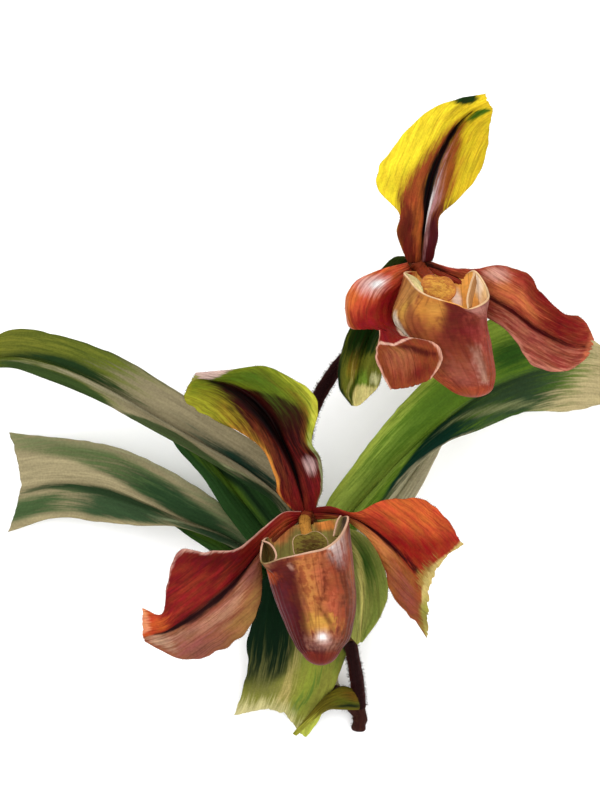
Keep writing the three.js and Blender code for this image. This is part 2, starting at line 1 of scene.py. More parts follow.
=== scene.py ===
"""A cut slipper orchid lying on its back, dressed for the final render.

Everything is drawn in millimetres with +Z up and turned into metres when a mesh is built.
Leaves, bracts, sepals and petals are blades between three rails (left edge, midrib, right
edge), as in the CAD model. Colours are named marks laid on a piece by how far along it (0 at
its base, 1 at its tip) and how far across it (-1 left edge, 0 midrib, 1 right edge) they lie.
"""

import bpy
import numpy as np
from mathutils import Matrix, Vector


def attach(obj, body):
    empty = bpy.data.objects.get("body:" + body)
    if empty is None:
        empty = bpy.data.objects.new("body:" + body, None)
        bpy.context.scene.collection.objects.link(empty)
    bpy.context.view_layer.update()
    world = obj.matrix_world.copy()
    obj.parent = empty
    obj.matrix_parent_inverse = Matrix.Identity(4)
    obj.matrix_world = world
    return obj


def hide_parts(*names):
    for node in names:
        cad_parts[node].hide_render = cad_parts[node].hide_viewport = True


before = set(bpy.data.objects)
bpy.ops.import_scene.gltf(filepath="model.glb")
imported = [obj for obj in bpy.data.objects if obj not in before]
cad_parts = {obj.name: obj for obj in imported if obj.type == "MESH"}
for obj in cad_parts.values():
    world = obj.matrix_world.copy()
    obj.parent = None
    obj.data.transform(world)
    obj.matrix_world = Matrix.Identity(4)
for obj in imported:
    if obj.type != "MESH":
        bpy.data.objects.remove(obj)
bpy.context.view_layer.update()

MM = 0.001
ORIGIN = np.zeros(3)
FRONT_BLOOM = np.array([-8.0, 72.0, 48.0])  # where the parts of a bloom meet
REAR_BLOOM = np.array([38.0, 172.0, 50.0])

# Sizes in millimetres.
LEAF_THICKNESS = 1.3
PETAL_THICKNESS = 1.1
BRACT_THICKNESS = 0.9
EDGE_THICKNESS = 0.7
SCAPE_RADIUS = 2.75
OVARY_RADIUS = 3.4
RHIZOME_RADIUS = 2.7  # at its cut end
CROWN_RADIUS = 5.0
COLUMN_RADIUS = 2.2
SHIELD_SIZE = (7.2, 5.7)  # half width and half height
POUCH_WALL = 1.2
TOE_WALL = 1.4
LIP_WALL = 0.7
LOBE_THICKNESS = 0.8
POUCH_LENGTH = 58
POUCH_FLANK = 9  # the streaks of a pouch spread over this radius
HAIR_THICKNESS = 0.07

# Shares of a length or a width.
TOE_START = 0.92  # how far along a pouch its toe begins
TOE_BLUNTNESS = 0.5
GROOVE_WIDTH = 0.055  # of the sunken midrib
HAIR_DROOP = 0.35
HAIR_SCATTER = 0.28

# Pitch of the random waves: teeth as a share of the half width, waves in millimetres.
BROAD_TEETH = 0.11
FINE_TEETH = 0.035
MARGIN_WIGGLE = 3.1  # in and out
BROAD_WAVES = 8  # up and down
FINE_WAVES = 3.5
OTHER_MARGIN = 500.0  # keeps the waves of the right margin apart from those of the left
WANDER_KNOTS = 512
WANDER_START = 150

# How finely the pouches, tube ends and hairs are drawn.
POUCH_SIDES = 180
POUCH_LEVELS = 100
TOE_LEVELS = 16
LIP_ROWS = 9
CAP_STEPS = (0.08, 0.25, 0.5, 0.75, 1.0)  # rings of a rounded end, from the wall to its tip
HAIR_POINTS = 7

SHINE = 0.03
LIGHT = 1.75  # light on an open surface: colours are given as they look under it

# ------------------------------------------------------------------ curves and noise


def mix(a, b, factor):
    return a + (b - a) * factor


def smooth(x):
    x = np.clip(x, 0, 1)
    return x * x * (3 - 2 * x)


def cubic(start, end, leave, arrive, w):
    """From start to end, w running from 0 to 1, with the slopes leave and arrive."""
    return ((2 * start - 2 * end + leave + arrive) * w**3
            + (3 * end - 3 * start - 2 * leave - arrive) * w**2 + leave * w + start)


def spline(points, t):
    """Catmull-Rom curve through points, straight on past its ends."""
    points = np.asarray(points, float)
    spans = len(points) - 1
    place = np.clip(np.asarray(t, float) * spans, 0, spans - 1e-9)
    i = np.floor(place).astype(int)
    w = (place - i)[..., None]
    ends = np.vstack([2 * points[0] - points[1], points, 2 * points[-1] - points[-2]])
    p0, p1, p2, p3 = (ends[i + k] for k in range(4))
    return cubic(p1, p2, (p2 - p0) / 2, (p3 - p1) / 2, w)


def ring_spline(points, turn):
    """Closed Catmull-Rom curve; turn 0 to 1 goes once round."""
    points = np.asarray(points, float)
    place = (np.asarray(turn, float) % 1.0) * len(points)
    i = np.floor(place).astype(int)
    w = (place - i)[..., None]
    p0, p1, p2, p3 = (points[(i + k) % len(points)] for k in (-1, 0, 1, 2))
    return cubic(p1, p2, (p2 - p0) / 2, (p3 - p1) / 2, w)


def wander(x, pitch, seed):
    """Smooth random curve between -1 and 1 that changes about every `pitch`."""
    knots = np.random.default_rng(seed).uniform(-1, 1, WANDER_KNOTS)
    place = np.asarray(x, float) / pitch + WANDER_START
    i = np.floor(place).astype(int)
    return mix(knots[i % WANDER_KNOTS], knots[(i + 1) % WANDER_KNOTS], smooth(place - i))


def unit(v):
    return v / np.maximum(np.linalg.norm(v, axis=-1, keepdims=True), 1e-9)


def grid_normals(grid, wrap=False):
    """Normals of a grid of points, crosswise times lengthwise."""
    lengthwise = np.gradient(grid, axis=0)
    if wrap:
        crosswise = np.roll(grid, -1, axis=1) - np.roll(grid, 1, axis=1)
    else:
        crosswise = np.gradient(grid, axis=1)
    return unit(np.cross(crosswise, lengthwise))


# ------------------------------------------------------------------ meshes


class Skin:
    """Points, faces and per-point values of one piece while it is drawn.

    Values: along, across (place on the piece), face (1 on the upper side), hair, rim, inside
    and lobe (1 where it is one), and strip (place in millimetres, for the streaks).
    """

    def __init__(self):
        self.points, self.faces, self.values, self.count = [], [], [], 0

    def add(self, points, faces, **values):
        points = np.asarray(points, float).reshape(-1, 3)
        self.faces += [tuple(int(k) + self.count for k in face) for face in faces]
        self.points.append(points)
        self.values.append((len(points), values))
        self.count += len(points)

    def value(self, name, width=1):
        rows = []
        for count, values in self.values:
            given = np.asarray(values.get(name, 0.0), float)
            rows.append(np.broadcast_to(given.reshape(-1, width) if given.ndim else given,
                                        (count, width)))
        return np.concatenate(rows).squeeze()

    def build(self, node, slot, base, marks, **look):
        """Make the piece that takes the place of a CAD node, and its material."""
        material = tissue(node, base, marks, **look)
        name = f"fine_{node}"
        points = np.concatenate(self.points)
        points[:, 2] = np.maximum(points[:, 2], 0.0)
        mesh = bpy.data.meshes.new(name)
        mesh.from_pydata((points * MM).tolist(), [], self.faces)
        mesh.polygons.foreach_set("use_smooth", [True] * len(mesh.polygons))
        along, across = self.value("along"), self.value("across")
        layers = {key: self.value(key) for key in ("face", "hair", "rim", "inside", "lobe")}
        inside, lobe = layers["inside"], layers["lobe"]
        share = {"skin": (1 - inside) * (1 - lobe), "inside": inside, "lobe": lobe}
        for mark in marks:
            layers[mark.name] = (mark.mask(along, across) + 0.5) * share[mark.on] - 0.5
        for layer, values in layers.items():
            attribute = mesh.attributes.new(layer, "FLOAT", "POINT")
            attribute.data.foreach_set("value", values.astype(np.float32))
        strip = mesh.attributes.new("strip", "FLOAT_VECTOR", "POINT")
        strip.data.foreach_set("vector", self.value("strip", 3).astype(np.float32).ravel())
        mesh.materials.append(material)
        piece = bpy.data.objects.new(name, mesh)
        bpy.context.scene.collection.objects.link(piece)
        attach(piece, "root")
        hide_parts(node)


def grid_faces(rows, columns, wrap=False, flip=False):
    """Quads of a grid of points stored row after row."""
    faces = []
    last = columns if wrap else columns - 1
    for i in range(rows - 1):
        for j in range(last):
            k = (j + 1) % columns
            a, b = i * columns + j, i * columns + k
            quad = (a, b, b + columns, a + columns)
            faces.append(quad[::-1] if flip else quad)
    return faces


def blade(skin, shape, at, thickness, rows, columns, seed, ribs=9, rib_depth=0.1, keel=0.5,
          frill=0.0, ragged=0.0, lobe=None, lip=0):
    """A thin leaf or petal with rounded edges, ribs, a keeled midrib and a waved margin.

    lobe numbers a side lobe of a pouch; lip is -1 or 1 for a pale left or right margin.
    Returns the middle surface and its normals.
    """
    # Rows and columns lie closer together near the ends and the margins.
    x = np.linspace(0, 1, rows + 1)
    y = np.linspace(-1, 1, columns + 1)
    t, s = np.meshgrid(mix(x, (1 - np.cos(np.pi * x)) / 2, 0.35),
                       mix(y, np.sin(np.pi * y / 2), 0.55), indexing="ij")
    out = np.abs(s)
    length = np.linalg.norm(np.diff(np.asarray(shape["mid"], float), axis=0), axis=1).sum()
    # The tip is notched on either side and torn into broad and fine teeth.
    notch = np.where(s < 0, *shape.get("notch", (0, 0)))
    torn = ragged * (0.6 * wander(s, BROAD_TEETH, seed + 5) + 0.4 * wander(s, FINE_TEETH, seed + 6))
    u = t * (1 - notch * np.sin(np.pi * out) - np.maximum(torn, -0.01) * t**12)
    stretch = u * length + np.where(s < 0, 0.0, OTHER_MARGIN)
    rib_line = spline(shape["mid"], u)
    edge = np.where((s < 0)[..., None], spline(shape["left"], u), spline(shape["right"], u))
    # The margin wanders in and out, then up and down.
    reach = 1 + frill * 0.035 * wander(stretch, MARGIN_WIGGLE, seed) * out**3
    centre = rib_line + (edge - rib_line) * (out * reach)[..., None]
    hump = np.sin(np.pi * u)
    centre[..., 2] += shape.get("arch", 0) * hump * np.sin(np.pi * out)
    centre[..., 2] += shape.get("ruffle", 0) * hump * out**3 * np.sin(6 * np.pi * u + 2 * s)
    waves = 0.9 * wander(stretch, BROAD_WAVES, seed + 1) + 0.5 * wander(stretch, FINE_WAVES, seed + 2)
    centre[..., 2] += frill * waves * out**4 * hump
    centre += at
    normal = grid_normals(centre)
    # Both faces: thickness rounded off at the edges, a groove over the midrib and low ribs.
    rounded = np.sqrt(np.clip(1 - out**9, 0, 1) * np.clip(1 - np.abs(2 * t - 1)**50, 0, 1))
    half = mix(thickness, EDGE_THICKNESS, out**2) / 2 * rounded
    groove = keel * np.exp(-(s / GROOVE_WIDTH)**2) * np.minimum(1, 4 * (1 - t))
    relief = rib_depth * np.cos(np.pi * ribs * s) * (1 - out**4) * rounded
    upper = centre + normal * (half + relief - groove)[..., None]
    lower = centre - normal * (half - relief + 0.7 * groove)[..., None]
    # The faces share the points of the border.
    border = np.zeros_like(t, bool)
    border[0], border[-1], border[:, 0], border[:, -1] = True, True, True, True
    upper[border] = centre[border]
    top = np.arange(t.size).reshape(t.shape)
    bottom = top.copy()
    bottom[~border] = t.size + np.arange((~border).sum())
    points = np.concatenate([upper.reshape(-1, 3), lower[~border]])
    faces = [tuple(top.ravel()[k] for k in face) for face in grid_faces(*t.shape)]
    faces += [tuple(bottom.ravel()[k] for k in face) for face in grid_faces(*t.shape, flip=True)]
    width = np.linalg.norm(edge - rib_line, axis=-1) * s
    both = lambda grid: np.concatenate([grid.ravel(), grid[~border]])
    face = np.concatenate([np.ones(t.size), np.zeros((~border).sum())])
    strip = np.stack([both(u * length), both(width), 40 * face + seed], axis=-1)
    skin.add(points, faces, along=both(u) + 2 * (lobe or 0), across=both(s), face=face,
             strip=strip, lobe=0.0 if lobe is None else 1.0,
             rim=both(smooth((s * lip - 0.55) / 0.28)))
    return centre, normal


def tube(skin, path, radius, rows, seed, sides=32, flatten=1.0, caps=(0.35, 0.35), index=0):
    """A closed tube along a path; radius(t, angle) gives its size. Returns points and normals.

    index tells two tubes of one piece apart: it shifts `along` by two.
    """
    t = np.linspace(0, 1, rows + 1)
    angle = np.arange(sides) * 2 * np.pi / sides
    centre = spline(path, t)
    forward = unit(np.gradient(centre, axis=0))
    sideways = unit(np.cross([0, 0, 1.0], forward))
    upward = np.cross(forward, sideways)
    tt, aa = np.meshgrid(t, angle, indexing="ij")
    r = radius(tt, aa)
    grid = (centre[:, None] + sideways[:, None] * (r * np.cos(aa))[..., None]
            + upward[:, None] * (r * flatten * np.sin(aa))[..., None])
    length = np.linalg.norm(np.diff(centre, axis=0), axis=1).sum()
    first, last = grid[0].mean(axis=0), grid[-1].mean(axis=0)
    size = [r[0].mean() * caps[0], r[-1].mean() * caps[1]]
    rings = [mix(grid[0], first, k) - forward[0] * size[0] * np.sqrt(1 - (1 - k)**2)
             for k in reversed(CAP_STEPS)]
    rings += list(grid)
    rings += [mix(grid[-1], last, k) + forward[-1] * size[1] * np.sqrt(1 - (1 - k)**2)
              for k in CAP_STEPS]
    rings = np.array(rings)
    capped = np.concatenate([np.zeros(len(CAP_STEPS)), t, np.ones(len(CAP_STEPS))])
    along, bearing = np.meshgrid(capped, angle, indexing="ij")
    girth = 3 * r.mean()
    strip = np.stack([along * length, np.cos(bearing) * girth, np.sin(bearing) * girth], axis=-1)
    skin.add(rings, grid_faces(len(rings), sides, wrap=True), along=along.ravel() + 2 * index,
             across=np.sin(bearing).ravel(), face=1.0, strip=(strip + seed).reshape(-1, 3))
    return grid, unit(grid - centre[:, None])


def hairs(skin, roots, directions, length, thick, seed):
    """Short curved hairs, each a three-sided cone in two joints."""
    rng = np.random.default_rng(seed)
    count = len(roots)
    directions = unit(directions + rng.normal(0, HAIR_SCATTER, (count, 3)))
    size = length * rng.uniform(0.55, 1.25, (count, 1))
    lean = unit(np.cross(directions, rng.normal(0, 1, (count, 3))))
    side = np.cross(directions, lean)
    points, faces = [], []
    for rise, bend, girth in ((-0.1, 0, 1), (0.55, 0.12, 0.7)):
        for corner in range(3):
            angle = corner * 2 * np.pi / 3
            swing = lean * np.cos(angle) + side * np.sin(angle)
            points.append(roots + directions * size * rise + lean * size * bend * HAIR_DROOP
                          + swing * thick * girth)
    points.append(roots + directions * size + lean * size * HAIR_DROOP)
    points = np.stack(points, axis=1)
    for k in range(count):
        b = k * HAIR_POINTS
        for corner in range(3):
            after = (corner + 1) % 3
            faces.append((b + corner, b + after, b + 3 + after, b + 3 + corner))
            faces.append((b + 3 + corner, b + 3 + after, b + 6))
    strip = np.repeat(roots, HAIR_POINTS, axis=0)
    skin.add(points.reshape(-1, 3), faces, hair=1.0, face=1.0, strip=strip, along=0.5)


# ------------------------------------------------------------------ colour marks


class Mark:
    """A named patch of colour; its mask is -0.5 outside, 0.5 on its edge and 1.5 inside.

    strength is how much it covers, streaky how far the streaks of the tissue tear its edge,
    and on the part of the piece that it lies on: skin, inside or lobe.
    """

    def __init__(self, name, colour, mask, strength=1.0, streaky=0.22, on="skin"):
        self.name, self.colour, self.mask = name, colour, mask
        self.strength, self.streaky, self.on = strength, streaky, on


def band(*stations, soft=0.12, fade=0.24):
    """A band along a blade through stations (along, across, half width)."""
    at, middle, half = np.array(stations, float).T

    def mask(t, s):
        inside = np.interp(t, at, half) - np.abs(s - np.interp(t, at, middle))
        value = 0.5 + inside / (2 * soft)
        if at[0] > 0:
            value = np.minimum(value, 0.5 + (t - at[0]) / (2 * fade))
        if at[-1] != 1:
            value = np.minimum(value, 0.5 + (at[-1] - t) / (2 * fade))
        return np.clip(value, -0.5, 1.5)

    return mask


def spot(t0, s0, long, wide, soft=0.5):
    """An oval patch centred at (t0, s0)."""

    def mask(t, s):
        away = np.sqrt(((t - t0) / long)**2 + ((s - s0) / wide)**2)
        return np.clip(0.5 + (1 - away) / (2 * soft), -0.5, 1.5)

    return mask


def beyond(*stations, soft=0.03):
    """Everything nearer the tip than a line through stations (across, along)."""
    across, at = np.array(stations, float).T

    def mask(t, s):
        return np.clip(0.5 + (t - np.interp(s, across, at)) / (2 * soft), -0.5, 1.5)

    return mask


SECOND_PART = beyond((-1, 1.5), (1, 1.5))  # the second tube or lobe of a piece

# ------------------------------------------------------------------ materials


def linear(colour):
    """The surface colour that looks like a hex colour under the studio's light."""
    parts = [int(colour[i:i + 2], 16) / 255 for i in (1, 3, 5)]
    flat = [c / 12.92 if c <= 0.04045 else ((c + 0.055) / 1.055)**2.4 for c in parts]
    return [c / LIGHT for c in flat] + [1.0]


class Nodes:
    """Short calls that build one material's nodes."""

    def __init__(self, name):
        self.material = bpy.data.materials.new(name)
        self.material.use_nodes = True
        self.tree = self.material.node_tree
        self.shader = self.tree.nodes["Principled BSDF"]

    def feed(self, socket, value):
        if isinstance(value, bpy.types.NodeSocket):
            self.tree.links.new(value, socket)
        else:
            socket.default_value = value

    def add(self, kind, inputs, output=0, **settings):
        node = self.tree.nodes.new(kind)
        for key, value in settings.items():
            setattr(node, key, value)
        for key, value in inputs.items():
            self.feed(node.inputs[key], value)
        return node.outputs[output]

    def value(self, name):
        return self.add("ShaderNodeAttribute", {}, output=2, attribute_name=name)

    def noise(self, stretch, detail=3.0):
        """Noise stretched along the piece; stretch gives its grain in millimetres."""
        strip = self.add("ShaderNodeAttribute", {}, output=1, attribute_name="strip")
        scaled = self.add("ShaderNodeVectorMath", {0: strip, 1: [1 / k for k in stretch]},
                          operation="MULTIPLY")
        return self.add("ShaderNodeTexNoise", {"Vector": scaled, "Scale": 1.0, "Detail": detail})

    def math(self, operation, *inputs):
        return self.add("ShaderNodeMath", dict(enumerate(inputs)), operation=operation)

    def ramp(self, value, low, high, start=0.0, end=1.0):
        return self.add("ShaderNodeMapRange", {0: value, 1: low, 2: high, 3: start, 4: end},
                        interpolation_type="SMOOTHSTEP")

    def blend(self, a, b, factor):
        return self.add("ShaderNodeMix", {0: factor, 6: a, 7: b}, output=2, data_type="RGBA")

    def scale(self, colour, factor):
        return self.add("ShaderNodeVectorMath", {0: colour, "Scale": factor}, operation="SCALE")


def tissue(name, base, marks, grain, fine, shade, bump, roughness=0.5, hair="#5a3524", vein=None,
           underside=None, rim=None, inside=None, lobe=None, blotch=0.0, glow=0.0):
    """Plant tissue: a base colour, its marks, streaks along the piece, veins and fine relief.

    grain and fine give the size of coarse and fine streaks, shade how strong they are;
    vein and underside are a colour and its strength;
    blotch is how much soft patches a few millimetres wide lighten, darken and shift the hue;
    glow is painted light: the inside of a pouch glows, standing for the light that its thin wall lets
    through.
    """
    n = Nodes(name)
    broad = n.noise(grain)
    thin = n.noise(fine, detail=2.0)
    streak = n.math("MULTIPLY_ADD", thin, 0.45, n.math("MULTIPLY", broad, 0.55))
    swing = n.ramp(streak, 0.36, 0.64, -1.0, 1.0)
    # Colours of the parts, then the marks, whose edges the streaks tear.
    colour = linear(base)
    if inside:
        colour = n.blend(colour, linear(inside), n.value("inside"))
    if lobe:
        colour = n.blend(colour, linear(lobe), n.value("lobe"))
    for mark in marks:
        shifted = n.math("MULTIPLY_ADD", swing, mark.streaky, n.value(mark.name))
        factor = n.ramp(shifted, 0.05, 0.95, 0.0, mark.strength)
        colour = n.blend(colour, linear(mark.colour), factor)
    if vein:
        # Thin lines where a long-drawn noise crosses its middle.
        line = n.math("ABSOLUTE", n.math("SUBTRACT", n.noise((60, 1.5, 1), detail=1.0), 0.5))
        factor = n.ramp(line, 0.0, 0.035, vein[1], 0.0)
        colour = n.blend(colour, linear(vein[0]), factor)
    if underside:
        factor = n.ramp(n.value("face"), 0.0, 1.0, underside[1], 0.0)
        colour = n.blend(colour, linear(underside[0]), factor)
    if rim:
        colour = n.blend(colour, linear(rim), n.ramp(n.value("rim"), 0.3, 0.7))
    # Light and dark: streaks, specks under a millimetre and soft patches.
    mottle = n.ramp(n.noise((0.9, 0.9, 0.9), detail=2.0), 0.3, 0.7, 0.91, 1.09)
    colour = n.scale(colour, n.math("MULTIPLY_ADD", swing, shade, mottle))
    if blotch:
        patches = n.noise((9, 4, 1), detail=2.0)
        colour = n.scale(colour, n.ramp(patches, 0.32, 0.68, 1 - blotch, 1 + blotch))
        hue = n.ramp(n.noise((7, 3, 2)), 0.3, 0.7, 0.5 - blotch / 18, 0.5 + blotch / 18)
        colour = n.add("ShaderNodeHueSaturation", {"Hue": hue, "Color": colour})
    colour = n.blend(colour, linear(hair), n.value("hair"))
    n.feed(n.shader.inputs["Base Color"], colour)
    # Painted light: the inside of a pouch glows as if lit through its thin wall.
    if glow:
        n.feed(n.shader.inputs["Emission Color"], n.scale(colour, n.value("inside")))
        n.shader.inputs["Emission Strength"].default_value = glow
    n.feed(n.shader.inputs["Roughness"], n.ramp(thin, 0.3, 0.7, roughness - 0.08, roughness + 0.08))
    n.shader.inputs["Specular IOR Level"].default_value = SHINE
    height = n.math("MULTIPLY_ADD", thin, 0.6, broad)
    relief = n.add("ShaderNodeBump", {"Height": height, "Strength": bump, "Distance": 0.0006})
    n.feed(n.shader.inputs["Normal"], relief)
    return n.material


# ------------------------------------------------------------------ shapes of the blades

LEAF_UPPER_LEFT = {
    "arch": 1.5,
    "left": [(-7, 51, 15), (-19, 75, 29), (-33, 85, 37), (-52, 96.5, 42), (-73, 108, 42),
        (-91, 117.8, 37), (-111, 126, 29), (-129, 131, 17), (-150.5, 125.5, 0.4)],
    "mid": [(-4.5, 51.5, 12), (-14, 74, 22), (-30, 89, 30), (-50, 101, 35), (-70, 112.5, 36),
        (-90, 124, 32), (-110, 132.5, 25), (-130, 135, 14), (-151, 127, 0.4)],
    "right": [(-2.5, 54, 15), (-9, 84.5, 28), (-24.5, 98.5, 36), (-43, 110.5, 40), (-63, 124, 40),
        (-83.5, 136, 36), (-107, 144, 29), (-128.5, 145.5, 18), (-150, 128, 0.4)],
}
LEAF_LOWER_LEFT = {
    "arch": 1.5,
    "notch": (0.005, 0.005),
    "left": [(-9.5, 40, 11), (-27, 53, 16), (-42, 61, 19), (-59, 67, 21), (-74, 67.5, 19),
        (-90, 69, 15), (-108, 70.5, 9), (-127.5, 65, 0.6)],
    "mid": [(-8.5, 43, 9), (-25, 54, 12), (-40, 63, 15), (-56, 69, 17), (-72, 77, 16), (-88, 83.5, 12),
        (-106, 86, 6.5), (-122, 84, 2.5)],
    "right": [(-7, 45, 11), (-23, 59, 16), (-35, 71, 19), (-48.2, 81, 21), (-64, 90.5, 20),
        (-83, 99, 16), (-104, 102.5, 10), (-127, 105, 1)],
}
LEAF_SHADED_LEFT = {
    "arch": 1,
    "left": [(-8.5, 44.5, 12), (-25, 55, 18), (-39, 71.5, 22), (-49, 87, 24), (-59.5, 99, 24),
        (-64.5, 109, 23), (-68.5, 118.5, 20)],
    "mid": [(-6, 47, 10), (-19, 60, 15), (-31, 75, 18), (-41, 88, 20), (-52, 102, 21), (-62, 112, 21),
        (-68, 119, 20)],
    "right": [(-4, 49.5, 12), (-13, 66, 18), (-23, 81, 22), (-33, 96, 24), (-43.5, 107.5, 24),
        (-56.5, 115, 23), (-67, 119.5, 20)],
}
LEAF_LOWEST_LEFT = {
    "arch": 0.5,
    "left": [(-8.5, 35, 8), (-25, 43.5, 10), (-41, 54, 11), (-54, 62.7, 10), (-63, 69, 7),
        (-79, 78.5, 3)],
    "mid": [(-7, 37, 6), (-23, 49, 7), (-37, 61, 8), (-52, 69, 7), (-66, 75, 5), (-79, 79, 3)],
    "right": [(-6, 40, 8), (-20, 53, 10), (-34, 67, 11), (-48, 75, 10), (-64, 78, 7), (-78.5, 79.5, 3)],
}
LEAF_UPPER_RIGHT = {
    "arch": 1.5,
    "left": [(-4.5, 55.5, 15), (0, 75, 29), (10, 90, 35), (21, 105, 37), (34, 120, 36), (49, 135, 33),
        (66, 150.5, 28), (88, 153, 21), (111.5, 139.5, 12), (132.5, 124.5, 0.4)],
    "mid": [(-2.5, 52.5, 12), (8, 69, 21), (20, 83, 26), (32, 95.5, 29), (46, 108, 29), (61, 119, 26),
        (78, 127.5, 21), (96, 132, 14), (113, 131, 7), (132, 123, 0.4)],
    "right": [(0, 50.5, 15), (13, 66, 28), (25, 78, 35), (36, 90.5, 38), (49, 101, 37),
        (63.5, 106.5, 33), (80, 113, 27), (98, 113.5, 19), (114, 117, 10), (132.5, 121.5, 0.4)],
}
LEAF_LOWEST_RIGHT = {
    "arch": 0.5,
    "left": [(-1.5, 46, 9), (10, 67, 12), (21, 82, 12), (32, 97, 11), (42, 109, 8), (51.5, 117.5, 3)],
    "mid": [(-0.5, 43, 7), (15, 61, 8), (28, 78, 8), (38, 92, 7), (46, 105, 5), (52, 117, 3)],
    "right": [(2, 40.5, 9), (19, 57, 12), (35, 77, 12), (43, 91.5, 11), (48.5, 103.5, 8),
        (52.5, 117, 3)],
}
LEAF_FRONT = {
    "arch": 1,
    "notch": (0, 0.05),
    "left": [(-1.5, 49.5, 14), (3, 41, 20), (10, 34, 20.5), (10.5, 22, 17), (6.5, 9.5, 14),
        (1, -3, 10.5), (-3, -11.5, 5), (-8, -18.2, 0.6)],
    "mid": [(-4, 50, 13), (-5, 42, 21), (-6.5, 33, 23.5), (-8, 20, 21), (-10, 9, 16.5), (-12, 2, 12),
        (-14, -2, 8.5), (-16, -8, 3.6)],
    "right": [(-10, 50, 14), (-24.5, 46.5, 19), (-27, 35.5, 18), (-31, 22, 14), (-31, 11, 10.5),
        (-33, 2, 6.5), (-35, -4.5, 3), (-36.5, -9, 0.6)],
}
SCAPE_BRACT = {
    "arch": 0.6,
    "left": [(16, -5.5, 6.5), (13, -6.5, 9.5), (8, -6.5, 11.5), (1.5, -6.5, 13), (-5, -11, 11.5),
        (-11.5, -17, 9)],
    "mid": [(15.5, -3, 8), (12.5, -2.5, 12), (8, -2, 14), (1, -4, 14.5), (-5.5, -9.5, 12.5),
        (-12.5, -16.5, 9)],
    "right": [(16, -0.5, 8), (11.5, 2, 12.5), (6, 3, 13), (-0.5, -1.5, 13.5), (-7, -9, 12),
        (-13, -16, 9)],
}
